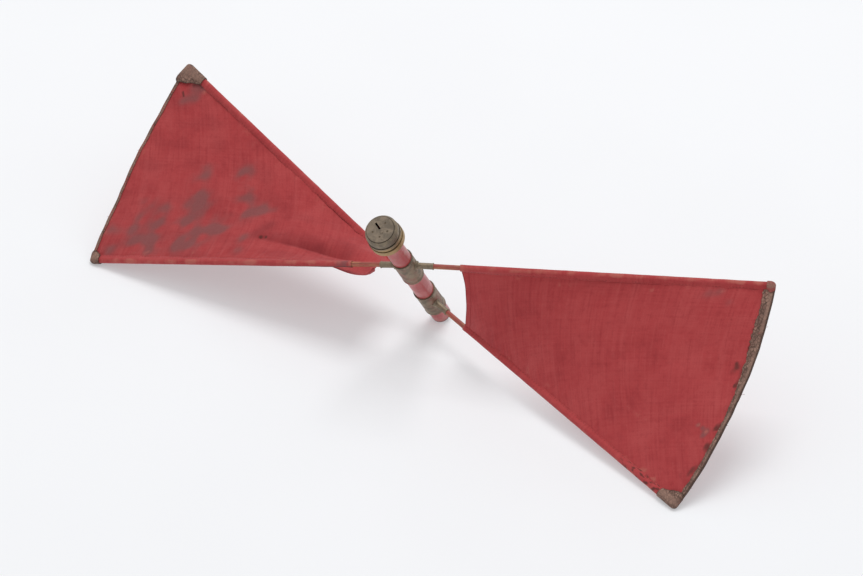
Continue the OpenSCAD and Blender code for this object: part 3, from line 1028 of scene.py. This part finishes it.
    @staticmethod
    def stations(piece: bpy.types.Object, r: np.ndarray) -> tuple[np.ndarray, np.ndarray]:
        """Gives each point of a wrap its distance from the staff and its share of the way round."""
        count = len(piece.data.vertices) // len(r)
        return np.repeat(r, count).reshape(len(r), count), np.tile(np.linspace(0, 1, count), (len(r), 1))

    def wrap(self, name: str, tier: Tier, r: np.ndarray, radius: np.ndarray, flap: np.ndarray,
             lift: np.ndarray, thick: float, around: int = 44) -> bpy.types.Object:
        """Carries a wrap's outline along a rod.

        Args:
            name: Name of the piece.
            tier: Which rod it wraps.
            r: Stations along the rod.
            radius: Radius round the rod at each station.
            flap: Flap reach at each station.
            lift: Flap lift at each station.
            thick: Thickness of the material.
            around: How many points the outline has.

        Returns:
            The new piece.
        """
        line = wrap_outline(radius, flap, lift, np.linspace(0, 1, around))
        inwards, upwards = self.guides(tier, r)
        middle = self.rod(tier).at(r)
        points = middle[:, None] + line[..., :1] * inwards[:, None] + line[..., 1:] * upwards[:, None]
        girth = np.concatenate([np.zeros((len(r), 1)),
                                np.linalg.norm(np.diff(line, axis=1), axis=-1).cumsum(1)], axis=1)
        flat = np.stack([np.broadcast_to(r[:, None], girth.shape), girth], axis=-1)
        return add_sheet(name, points, flat, thick)

    def sleeve(self, tier: Tier, cloth: bpy.types.Material) -> bpy.types.Object:
        """Makes the cloth sleeve of one rod, with a slightly flared mouth and a wandering cut edge."""
        r = np.linspace(self.sleeve_start(tier), self.reach - 3 * MM, 200)
        seed = self.seed + (20 if tier is Tier.UPPER else 30)
        mouth = ease(r, r[0] + self.mouth_length, r[0])
        uneven = swell(r, r * 0, 26 * MM, seed)
        radius = self.sleeve_radius + self.mouth_flare * mouth + 0.08 * MM * uneven
        flap = self.flap_line(tier, r) + 0.3 * MM * uneven - 0.8 * MM * mouth
        lift = np.full_like(r, self.cloth_thick / 2)
        name = self.node(tier, "rod_sleeve")
        piece = self.wrap(name, tier, r, radius, flap, lift, self.sleeve_thick)
        rr, t = self.stations(piece, r)
        # Pale along the sleeve's crown: partly wear, partly a painted highlight.
        crown = np.exp(-((t - (0.42 if tier is Tier.UPPER else 0.49)) / 0.09) ** 2)
        rub = self.crown_rub_and_highlight * crown * (0.75 + 0.45 * swell(rr, t * 30 * MM, 24 * MM, seed + 1))
        rub = rub + 0.6 * ease(rr, r[0] + 6 * MM, r[0])
        patchy = 0.6 + 0.6 * swell(rr, 0 * rr, 22 * MM, seed + 2)
        rub = rub + 0.35 * np.exp(-t / 0.03) * np.clip(patchy, 0, 1)
        grime_and_shade = self.sleeve_grime(tier, rr, t)
        # A thin dark line just past the crown, on the upper sleeve's lower side.
        if tier is Tier.UPPER:
            grime_and_shade = grime_and_shade + 0.8 * np.exp(-((t - 0.57) / 0.05) ** 2)
        set_marks(piece, {Mark.RUB_AND_HIGHLIGHT: rub, Mark.GRIME_AND_SHADE: grime_and_shade, Mark.STAIN: self.sleeve_stain(tier, rr, t)})
        dress(piece, cloth)
        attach(piece, tier.body)
        return self.name_slot(piece, "sleeve_cloth", self.node(tier, "sleeve"))

    def sleeve_grime(self, tier: Tier, r: np.ndarray, t: np.ndarray) -> np.ndarray:
        """Gives a sleeve's own dark wear, none unless the fan says so."""
        return 0.0 * r * t

    def sleeve_stain(self, tier: Tier, r: np.ndarray, t: np.ndarray) -> np.ndarray:
        """Gives a sleeve's own grey damp marks, none unless the fan says so."""
        return 0.0 * r * t

    def tape(self, name: str, inner: bool, width: np.ndarray, half: float, thick: float,
             v: np.ndarray) -> bpy.types.Object:
        """Folds a tape round an edge: two flats on the cloth and half a circle past the edge.

        Args:
            name: Name of the piece.
            inner: Whether it is the inner edge.
            width: Width of the tape on each face, at each place along the edge.
            half: Half the thickness of the folded tape, at its middle surface.
            thick: Thickness of the tape's material.
            v: Places along the edge, as shares.

        Returns:
            The new piece.
        """
        t = np.linspace(-1, 1, 34)
        flat = 0.62
        past = np.clip((1 - np.abs(t) - flat) / (1 - flat), 0, 1) * np.pi / 2
        lie = np.clip((1 - np.abs(t)) / flat, 0, 1)
        depth = np.where(np.abs(t) > 1 - flat, width[:, None] * (1 - lie), -half * np.sin(past))
        lift = np.where(np.abs(t) > 1 - flat, half, half * np.cos(past)) * np.sign(t + 1e-9)
        edge = self.inner(v) if inner else self.outer(v)
        r = edge[:, None] + (depth if inner else -depth)
        vv = np.broadcast_to(v[:, None], r.shape)
        frayed = 0.12 * MM * swell(r, self.across(r, vv), 11 * MM, self.seed + 7) * (depth > 1 * MM)
        points = self.place(r, vv, lift[None, :] + frayed * np.sign(lift)[None, :])
        run = self.across(edge, v)
        cut = np.stack([np.broadcast_to(run[:, None], r.shape), t[None, :] * width[:, None]], axis=-1)
        piece = add_sheet(name, points, cut, thick)
        rub = 0.9 * (lift[None, :] > 0) * np.exp(-((depth - 2.5 * MM) / (3 * MM)) ** 2)
        rub = rub * (0.7 + 0.5 * swell(run[:, None] + 0 * r, depth, 30 * MM, self.seed + 8))
        side = 0.0 if inner else 1.0
        worn = 1 - 0.6 * self.edge_paint
        # A dark line at the tape's inner side is wear; the dark along its folded edge, round it and on both
        # faces, is painted shade.
        grime_and_shade = (0.45 * side * worn * np.exp(-((width[:, None] - depth) / (0.6 * MM)) ** 2)
                 + (0.55 + 0.2 * side) * worn * ease(depth, 1.5 * MM, 0.5 * MM))
        rub = rub * (0.3 + 0.7 * side)
        red = side * (0.3 * ease(v, 0.5, 0.1)[:, None] * ease(depth, 4 * MM, 10 * MM))
        patchy = self.edge_paint * (0.6 + 0.6 * swell(run[:, None] + 0 * r, depth, 14 * MM, self.seed + 15))
        red = np.maximum(red, side * patchy)
        set_marks(piece, {Mark.RUB_AND_HIGHLIGHT: rub, Mark.GRIME_AND_SHADE: grime_and_shade, Mark.STAIN: 0 * rub, Mark.CREASE_SHADE_AND_DOPE: red})
        return piece

    def tape_width(self, v: np.ndarray) -> np.ndarray:
        """Gives the leather tape's width along the outer edge, which narrows past the edge's middle."""
        return self.binding_low_width + (self.binding_width - self.binding_low_width) * ease(v, 0.66, 0.18)

    def binding(self, leather: bpy.types.Material) -> bpy.types.Object:
        """Makes the leather tape on the outer edge, ragged on its inner side."""
        v = np.linspace(0.004, 0.996, 240)
        run = self.across(self.outer(v), v)
        ragged = 0.07 * swell(run, 0 * run, 16 * MM, self.seed + 5)
        ragged = ragged + 0.04 * swell(run, 0 * run, 5 * MM, self.seed + 6)
        width = self.tape_width(v) * (1 + ragged)
        name = f"{self.side.value}_edge_binding"
        piece = self.tape(name, False, width, self.binding_half, self.skin_thick, v)
        dress(piece, leather)
        return self.soft(piece, "edge_leather", f"{self.side.value}_binding")

    def hem(self, cloth: bpy.types.Material) -> bpy.types.Object:
        """Makes the folded hem of the inner edge."""
        v = np.linspace(0.02, 0.98, 110)
        width = self.hem_width + 0.3 * MM * swell(v, 0 * v, 0.2, self.seed + 9)
        half = self.cloth_thick / 2 + self.hem_thick / 2
        piece = self.tape(f"{self.side.value}_hem", True, width, half, self.hem_thick, v)
        dress(piece, cloth)
        return self.soft(piece, "fan_cloth", f"{self.side.value}_inner_hem")

    def corner(self, tier: Tier, leather: bpy.types.Material) -> bpy.types.Object:
        """Makes the leather corner on a rod's tip: a wrap that widens and closes in a round end."""
        length, spread = self.upper_corner if tier is Tier.UPPER else self.lower_corner
        body = np.linspace(self.rod_end - length, self.rod_end, 40)[:-1]
        cap = np.linspace(0, np.pi / 2, 14)
        radius, lift = self.corner_radius, self.binding_half + self.skin_thick + self.corner_gap
        end = self.overhang + self.corner_past
        r = np.concatenate([body, self.rod_end + end * np.sin(cap)])
        shrink = np.concatenate([np.ones(len(body)), np.clip(np.cos(cap), 0.02, 1)])
        grow = np.clip((r - r[0]) / (self.rod_end - r[0]), 0, 1)
        ragged = 0.7 * MM * swell(r, 0 * r, 9 * MM, self.seed + (40 if tier is Tier.UPPER else 50))
        flap = radius + 1 * MM + spread * grow + ragged * np.minimum(1, 4 * grow)
        flap = flap * np.concatenate([np.ones(len(body)), 0.55 + 0.45 * np.cos(cap)])
        piece = self.wrap(self.node(tier, "leather_corner"), tier, r, radius * shrink, flap, lift * shrink,
                          self.skin_thick)
        rr, t = self.stations(piece, r)
        grime_and_shade = 0.9 * np.exp(-t / 0.06) + 0.8 * ease(rr, r[0] + 1.5 * MM, r[0])
        rub = 0.8 * np.exp(-((t - 0.3) / 0.15) ** 2)
        painted = self.corner_paint[tier is Tier.LOWER] + 0 * rub
        set_marks(piece, {Mark.RUB_AND_HIGHLIGHT: rub, Mark.GRIME_AND_SHADE: grime_and_shade * (1 - 0.5 * painted), Mark.CREASE_SHADE_AND_DOPE: painted})
        dress(piece, leather)
        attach(piece, tier.body)
        return self.name_slot(piece, "edge_leather", self.node(tier, "pocket_leather"))

    # ---- the sewing

    def seam(self, tier: Tier, thread: bpy.types.Material) -> bpy.types.Object:
        """Sews a row of stitches along a sleeve's flap, on the upper face."""
        first = self.sleeve_start(tier) + 6 * MM
        r = np.arange(first, self.rod_end - 16 * MM, self.stitch_pitch)
        rod = self.rod(tier)
        inwards, up = self.guides(tier, r)
        size = np.array([self.sleeve_radius]), np.array([self.flap(tier)]), np.array([self.cloth_thick / 2])
        end, near = wrap_outline(*size, np.array([0.0, 0.1]))[0]
        slope = unit(near - end)
        out = slope[1] * inwards - slope[0] * up
        places = rod.at(r) + near[0] * inwards + near[1] * up + (self.sleeve_thick / 2 + 0.05 * MM) * out
        along = np.broadcast_to(rod.along, places.shape)
        piece = add_stitches(self.node(tier, "seam_stitches"), places, along, out, self.stitch)
        dress(piece, thread)
        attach(piece, tier.body)
        return self.name_slot(piece, "fan_cloth")

    def edge_seam(self, thread: bpy.types.Material) -> bpy.types.Object:
        """Sews the leather tape down, with stitches just outside its inner side."""
        v = np.linspace(0.06, 0.94, 74)
        r = self.outer(v) - self.tape_width(v) * 0.72
        rise = self.binding_half + self.skin_thick / 2 + 0.1 * MM
        places = self.place(r, v, rise + 0 * v)
        along = unit(np.gradient(places, axis=0))
        up = self.normal(r, v)
        up = unit(up - (up * along).sum(-1, keepdims=True) * along)
        piece = add_stitches(f"{self.side.value}_edge_stitches", places, along, up, self.edge_stitch)
        dress(piece, thread)
        return self.soft(piece, "edge_leather")

    def loose_threads(self, thread: bpy.types.Material) -> bpy.types.Object:
        """Lets a few broken threads curl off the outer edge, each a drooping spiral of a few turns."""
        draw = np.random.default_rng(self.seed + 60)
        paths = []
        for v in self.thread_places:
            root = self.place(self.outer(np.array(v)), np.array(v), 0.4 * MM)
            out = unit(self.upper.along * (1 - v) + self.lower.along * v)
            side = unit(np.cross(out, self.staff.along))
            s = np.linspace(0, 1, 16)[:, None]
            length = draw.uniform(2.5, 5) * MM
            curl = draw.uniform(0.5, 1.3) * MM
            path = (root + length * s * out + curl * np.sin(draw.uniform(3, 6) * s) * side
                    - 1.2 * MM * s * s * self.staff.along)
            paths.append(path)
        piece = add_tube(f"{self.side.value}_loose_threads", paths, self.thread_radius)
        dress(piece, thread)
        return self.soft(piece, "fan_cloth")

    def build(self, cloth: bpy.types.Material, leather: bpy.types.Material, thread: bpy.types.Material,
              tape_thread: bpy.types.Material) -> None:
        """Makes every piece of the fan and works out its flat cut's size and area.

        Args:
            cloth: Material of the panel, the sleeves and the hem.
            leather: Material of the tape and the corners.
            thread: Material of the seams' thread.
            tape_thread: Material of the tape's thread.
        """
        panel = self.panel(cloth)
        trims = [self.hem(cloth), self.binding(leather), self.edge_seam(tape_thread),
                 self.loose_threads(thread)]
        for tier in Tier:
            trims += [self.sleeve(tier, cloth), self.corner(tier, leather), self.seam(tier, thread)]
        self.cut_size()
        self.cut_area()

    def cut_size(self) -> tuple[float, float]:
        """Gives the width and the length of the flat cut, which is as wide as the rods' tips are apart."""
        return float(self.width(np.array(self.reach))), float(self.reach + self.bulge - self.start)

    def cut_area(self) -> float:
        """Gives the flat cut's area: the sum of the ruled surface's small four-sided faces."""
        s, v = np.meshgrid(np.linspace(0, 1, 60), np.linspace(0, 1, 60), indexing="ij")
        r = self.inner(v) + (self.outer(v) - self.inner(v)) * s
        share = v[..., None]
        points = self.upper.at(r) * (1 - share) + self.lower.at(r) * share
        first, second = points[1:, 1:] - points[:-1, :-1], points[1:, :-1] - points[:-1, 1:]
        return float(np.linalg.norm(np.cross(first, second), axis=-1).sum() / 2)


@dataclass
class RightFan(Fan):
    """The whole, taut fan: a broad worn tape, a worn pale spot near it and a frayed lower corner."""

    bare_patch: Places = ((463, 198, 5), (461, 204, 4), (449, 190, 3), (456, 194, 3))
    scuffed_patch: Places = ((463, 199, 4), (450, 190, 3))
    damp_corner: Places = ((388, 12, 12), (402, 14, 10), (420, 26, 8))
    pale_patches: Places = ((368, 178, 15), (384, 184, 12), (350, 168, 16), (440, 186, 9))
    nicks: Places = ((465, 110, 4.5), (462, 105, 3), (472, 136, 2), (470, 84, 2), (475, 195, 2))
    dirty_places: Places = ((455, 257, 5), (464, 60, 3), (447, 281, 6), (428, 268, 4), (462, 118, 8))

    def stains(self, r: np.ndarray, y: np.ndarray, v: np.ndarray) -> dict[Mark, np.ndarray]:
        """Paints a bare patch near the lower corner, dark nicks by the tape and dirt at the corners."""
        gap = self.outer(v) - r
        edge = np.minimum(y, self.width(r) - y)
        spread = swell(r, y, 24 * MM, self.seed + 11)
        stain = spots(r, y, self.bare_patch)
        stain = stain + 0.55 * spots(r, y, self.damp_corner) * (0.7 + 0.4 * spread)
        stain = stain + 0.08 * ease(y, 60 * MM, 8 * MM) * ease(r, 420 * MM, 200 * MM) * (0.8 + 0.4 * spread)
        rub = 0.35 * ease(edge, 26 * MM, 14 * MM) * (0.5 + 0.5 * spread)
        rub = rub + 0.26 * spots(r, y, self.pale_patches) + 0.8 * spots(r, y, self.scuffed_patch)
        fray = ease(r, 300 * MM, 400 * MM) * ease(self.width(r) - y, 14 * MM, 7 * MM)
        rub = rub + 0.5 * fray * np.clip(spread, 0, 1)
        grime_and_shade = 0.55 * ease(gap, 17 * MM, 11 * MM) * (0.55 + 0.5 * spread)
        grime_and_shade = grime_and_shade + 0.7 * spots(r, y, self.nicks) + 0.45 * spots(r, y, self.dirty_places)
        return {Mark.STAIN: stain, Mark.RUB_AND_HIGHLIGHT: rub, Mark.GRIME_AND_SHADE: grime_and_shade}

    def sleeve_grime(self, tier: Tier, r: np.ndarray, t: np.ndarray) -> np.ndarray:
        """Frays the lower sleeve towards its tip."""
        if tier is Tier.UPPER:
            return 0.0 * r
        torn = swell(r, t * 60 * MM, 9 * MM, self.seed + 12)
        return 1.3 * ease(r, 330 * MM, 420 * MM) * ease(t, 0.7, 0.5) * np.clip(torn, 0, 1)


@dataclass
class LeftFan(Fan):
    """The stained fan: its upper sleeve is torn short, and the freed corner hangs below the rod."""

    bulge: float = 9 * MM
    inner_bulge: float = 2 * MM
    binding_width: float = 3 * MM
    binding_low_width: float = 3 * MM
    upper_corner: tuple[float, float] = (8 * MM, 7 * MM)
    lower_corner: tuple[float, float] = (27 * MM, 19 * MM)
    corner_paint: tuple[float, float] = (0.0, 0.0)
    thread_places: tuple[float, ...] = (0.22, 0.55, 0.742)
    damp_places: tuple[tuple[float, float], ...] = (
        (410, 35), (385, 20), (350, 20), (395, 60), (360, 60), (330, 60), (300, 55), (250, 40),
        (370, 100), (405, 90), (345, 85), (295, 105), (370, 135), (320, 130), (255, 90),
        (425, 60), (330, 25), (285, 80))
    edge_paint: float = 0.75
    torn_back: float = 5 * MM
    inner_inset: float = 4 * MM
    free_start: float = 47 * MM
    free_end: float = 118 * MM
    hang: float = 13.5 * MM
    crease_depth: float = 9.5 * MM
    crease_tail: float = 242 * MM
    crease_run: float = 146 * MM
    crease_line: float = 43 * MM
    crease_bow: float = 4 * MM
    crease_climb: float = 25 * MM
    pinch_depth: float = 1.5 * MM
    pinches: Places = ((240, 43, 4.5), (234, 44, 4))
    holes: Places = ((240, 45, 3.2), (233, 46, 2.4))
    crease_shade: Places = ((244, 60, 9), (236, 66, 8), (250, 48, 7))
    slit: Places = ((457, 248, 1.8), (455, 245, 1.8), (453, 242, 1.8))
    apex_dirt: Places = ((439, 260, 4), (446, 258, 4), (434, 256, 3))
    damp_corners: Places = (
        (448, 14, 10), (460, 46, 9), (443, 256, 11), (430, 258, 8), (436, 240, 9), (450, 236, 8))
    seed: int = 70

    def sleeve_start(self, tier: Tier) -> float:
        """Gives how far out a sleeve begins; the upper one is torn back."""
        return self.start + (self.torn_back if tier is Tier.UPPER else -1.5 * MM)

    def flap_line(self, tier: Tier, r: np.ndarray) -> np.ndarray:
        """Narrows the upper sleeve's flaps towards its torn end."""
        torn = 1.2 * MM * ease(r, 122 * MM, 92 * MM) if tier is Tier.UPPER else 0.0
        return super().flap_line(tier, r) - torn

    def inner(self, v: np.ndarray) -> np.ndarray:
        """Gives the inner edge, which runs nearer to the staff at the freed corner."""
        near = self.start - self.inner_inset
        return near - (near - self.free_start) * ease(v, 0.55, 0.0)

    def first(self, r: np.ndarray) -> np.ndarray:
        """Lets the freed corner reach to the upper rod, where no sleeve holds it."""
        return self.tuck * (1 - ease(r, self.free_end, self.start))

    def crease(self, r: np.ndarray, y: np.ndarray) -> tuple[np.ndarray, np.ndarray]:
        """Gives how far along the crease a place is, from 0 at its tail, and how far past it in y."""
        share = np.clip((self.crease_tail - r) / self.crease_run, 0, 1)
        return share, y - (self.crease_line - self.crease_bow * np.sin(np.pi * share))

    def sag(self, r: np.ndarray, v: np.ndarray) -> np.ndarray:
        """Adds to the usual sag a valley that deepens towards the torn sleeve, and the freed corner.

        Past the valley's line the cloth climbs back as a square, and on the rod's side it climbs straight to
        the sleeve. Where no sleeve holds it, the cloth hangs below the rod as a smooth hump on its free edge.
        """
        y, width = self.across(r, v), self.width(r)
        share, past = self.crease(r, y)
        deep = self.crease_depth * np.clip(share * 1.35, 0, 1) ** 0.8
        climb = np.clip(1 - past / self.crease_climb, 0, 1) ** 2
        facet = np.clip((y - 4 * MM) / np.maximum(y - past - 4 * MM, 1 * MM), 0, 1)
        valley = deep * np.where(past > 0, climb, facet) * ease(width - y, 6 * MM, 30 * MM)
        free = ease(r, self.free_end, 70 * MM)
        bump = ease(r, 145 * MM, 64 * MM) * ease(r, 38 * MM, 60 * MM) * self.hang
        drape = bump * ease(y, 46 * MM, 4 * MM)
        pinch = self.pinch_depth * spots(r, y, self.pinches)
        wrinkle = 0.8 * MM * np.sin(past / (4.5 * MM)) * np.exp(-(((r - 226 * MM) / (16 * MM)) ** 2))
        wrinkle = wrinkle * np.exp(-(past / (14 * MM)) ** 2)
        usual = super().sag(r, v) * (1 - 0.8 * free * ease(y, 30 * MM, 0.0))
        return usual - np.maximum(valley * (1 - free * ease(y, 46 * MM, 20 * MM)), drape) - pinch + wrinkle

    def sleeve_stain(self, tier: Tier, r: np.ndarray, t: np.ndarray) -> np.ndarray:
        """Greys the torn end of the upper sleeve."""
        torn = ease(r, 108 * MM, 92 * MM) if tier is Tier.UPPER else 0.0 * r
        return torn * (0.8 + 0.5 * swell(r, t * 30 * MM, 12 * MM, self.seed + 13))

    def stains(self, r: np.ndarray, y: np.ndarray, v: np.ndarray) -> dict[Mark, np.ndarray]:
        """Paints grey damp spots over the lower half, dirt at the apex and painted shade in the crease."""
        spread = swell(r, y, 26 * MM, self.seed + 11)
        draw = np.random.default_rng(self.seed + 20)
        damp = tuple((far + draw.normal(0, 7), across + draw.normal(0, 7), draw.uniform(11, 15))
                     for far, across in self.damp_places for _ in range(2))
        stain = 0.5 * spots(r, y, damp) * (0.95 + 0.4 * spread)
        haze = ease(y, 150 * MM, 40 * MM) * ease(r, 230 * MM, 330 * MM)
        stain = stain + 0.18 * haze * (0.6 + 0.6 * spread)
        stain = stain + 0.8 * spots(r, y, self.damp_corners)
        edge = np.minimum(y, self.width(r) - y)
        rub = 0.35 * ease(edge, 26 * MM, 14 * MM) * (0.5 + 0.5 * spread)
        rub = rub + 0.5 * ease(self.outer(v) - r, 14 * MM, 8 * MM) * np.clip(spread, 0, 1)
        tear = spots(r, y, self.slit + self.holes) + 0.6 * spots(r, y, self.apex_dirt)
        grime_and_shade = 0.5 * ease(self.outer(v) - r, 7 * MM, 3 * MM) + tear
        share, past = self.crease(r, y)
        # Painted shade along the crease: strongest just past its line, narrow on the rod's side, with the
        # listed shade spots and faint patches.
        fold = np.where(past > 0, np.exp(-(past / (17 * MM)) ** 2), np.exp(-(past / (2 * MM)) ** 2))
        fold = fold * ease(r, 262 * MM, 200 * MM) * ease(r, 92 * MM, 116 * MM) * (0.55 + 0.12 * spread)
        fold = fold + 0.4 * spots(r, y, self.crease_shade)
        fold = fold + 0.2 * np.clip(swell(r, y, 40 * MM, self.seed + 14), 0, 1)
        return {Mark.STAIN: stain, Mark.RUB_AND_HIGHLIGHT: rub, Mark.GRIME_AND_SHADE: grime_and_shade, Mark.CREASE_SHADE_AND_DOPE: fold}


# ------------------------------------------------------------------------------ the hardware


@dataclass
class Hardware:
    """The staff with its head, the collars, sockets and rods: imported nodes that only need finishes."""

    staff: Axis
    groove_height: float = 1.8 * MM
    first_groove: float = 0.35 / 0.65
    line_gap: float = 2.2 * MM
    line_height: float = 0.3 * MM
    plate_ring: tuple[float, float] = (17.6 * MM, 18.4 * MM)

    def grooves(self) -> tuple[tuple[float, float], ...]:
        """Finds the head's two grooves, as heights above the foot, from the head's own length."""
        low = self.staff.reaches("head_drum")[0]
        ring = self.staff.reaches("cap_ring")[0]
        first = low + (ring - self.groove_height - low) * self.first_groove
        return ((first, first + self.groove_height), (ring - self.groove_height, ring))

    def build(self) -> None:
        """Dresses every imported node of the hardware."""
        at = self.staff.matrix()
        grooves = self.grooves()
        dress_node("staff_tube", RubbedPaint(at).make())
        line = grooves[1][1] + self.line_gap
        head = OldBrass("old_head_brass", at, line_share=0.3, rings=(self.plate_ring,),
                        bright_low=grooves[0][1], bright_high=grooves[1][1],
                        grooves=(*grooves, (line, line + self.line_height))).make()
        plate = OldBrass("old_plate_brass", at, base=swatch(140, 125, 108), dull=swatch(112, 101, 88),
                         line_share=0.0, rings=(self.plate_ring,)).make()
        for name, finish in (("head_drum", head), ("cap_ring", head), ("cap_plate", plate),
                             ("cap_pin", plate), ("plate_studs", RustedIron().make())):
            dress_node(name, finish)
        for tier in Tier:
            top = self.staff.reaches(f"{tier.value}_collar")[1]
            # The band at the collar's top edge is painted shade where the collar meets the tube, set as a
            # groove.
            collar = OldBrass(f"{tier.value}_collar_brass", at, trace_share=0.6, line_share=0.1,
                              grooves=((top - 0.3 * MM, top + 1 * MM),), groove_share=0.15)
            dress_node(f"{tier.value}_collar", collar.make())
            for side in Side:
                place = rod_axis(f"{tier.value}_{side.value}_rod", self.staff).matrix()
                socket = OldBrass(f"{tier.value}_{side.value}_socket_brass", place, trace_share=0.4,
                                  line_share=0.1)
                dress_node(f"{tier.value}_{side.value}_socket", socket.make())
                wood = WornWood(f"{tier.value}_{side.value}_rod_wood", place)
                dress_node(f"{tier.value}_{side.value}_rod", wood.make())


# ------------------------------------------------------------------------------ the studio


@dataclass
class Studio:
    """A pale floor, a bright even room, one broad soft light and the camera."""

    lens: float = 166.2
    distance: float = 4.99
    elevation: float = 36.43
    roll: float = 1.55
    aim_shift: tuple[float, float] = (13 * MM, -48.7 * MM)
    floor_half: float = 9.0
    floor_points: int = 25
    lamp_place: tuple[float, float, float] = (0.3, 1.7, 6.0)
    lamp_size: float = 3.0
    lamp_power: float = 168.0
    room_light: float = 0.66

    def camera(self) -> None:
        """Sets the camera: above the horizon at an angle, at a distance from the middle of the object."""
        low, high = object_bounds()
        centre = (low + high) / 2
        aim = centre + Vector((*self.aim_shift, 0))
        rise = math.radians(self.elevation)
        back = Vector((0, -math.cos(rise), math.sin(rise)))
        data = bpy.data.cameras.new("camera")
        data.lens, data.sensor_width = self.lens, 36.0
        camera = bpy.data.objects.new("camera", data)
        camera.rotation_mode = "QUATERNION"
        tilt = Quaternion((0, 0, 1), math.radians(self.roll))
        camera.rotation_quaternion = (-back).to_track_quat("-Z", "Y") @ tilt
        camera.location = aim + back * self.distance
        bpy.context.scene.collection.objects.link(camera)
        bpy.context.scene.camera = camera

    def floor(self) -> None:
        """Lays the floor: a wide flat sheet, on a grid of points."""
        line = np.linspace(-self.floor_half, self.floor_half, self.floor_points)
        across, along = np.meshgrid(line, line, indexing="ij")
        points = np.stack([across, along, np.zeros_like(across)], axis=-1)
        floor = add_mesh("floor", points, grid_faces(self.floor_points, self.floor_points))
        dress(floor, PaleFloor().make())
        floor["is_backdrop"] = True

    def lamp(self) -> None:
        """Hangs one square soft light that faces the object."""
        data = bpy.data.lights.new("back_light", "AREA")
        data.shape, data.size, data.energy = "SQUARE", self.lamp_size, self.lamp_power
        lamp = bpy.data.objects.new("back_light", data)
        lamp.location = self.lamp_place
        lamp.rotation_mode = "QUATERNION"
        lamp.rotation_quaternion = (-Vector(self.lamp_place)).to_track_quat("-Z", "Y")
        bpy.context.scene.collection.objects.link(lamp)

    def build(self) -> None:
        """Sets up the room, the floor, the light and the colour handling."""
        world = bpy.data.worlds.new("room")
        world.use_nodes = True
        room = world.node_tree.nodes["Background"]
        room.inputs["Color"].default_value = (1.0, 1.0, 1.0, 1.0)
        room.inputs["Strength"].default_value = self.room_light
        bpy.context.scene.world = world
        bpy.context.scene.view_settings.view_transform = "Standard"
        self.floor()
        self.lamp()


def main() -> None:
    logging.basicConfig(level=logging.INFO, format="%(name)s: %(message)s")
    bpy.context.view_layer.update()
    studio = Studio()
    studio.camera()
    staff = staff_axis()
    Hardware(staff).build()
    cloth, leather = DopedCloth().make(), WornLeather().make()
    thread = Thread("red_thread", swatch(150, 70, 66), swatch(104, 44, 44)).make()
    tape_thread = Thread("brown_thread", swatch(112, 84, 70), swatch(70, 50, 42)).make()
    for kind, side in ((RightFan, Side.RIGHT), (LeftFan, Side.LEFT)):
        upper, lower = (rod_axis(f"{tier.value}_{side.value}_rod", staff) for tier in Tier)
        kind(side, staff, upper, lower).build(cloth, leather, thread, tape_thread)
    studio.build()


if __name__ == "__main__":
    main()
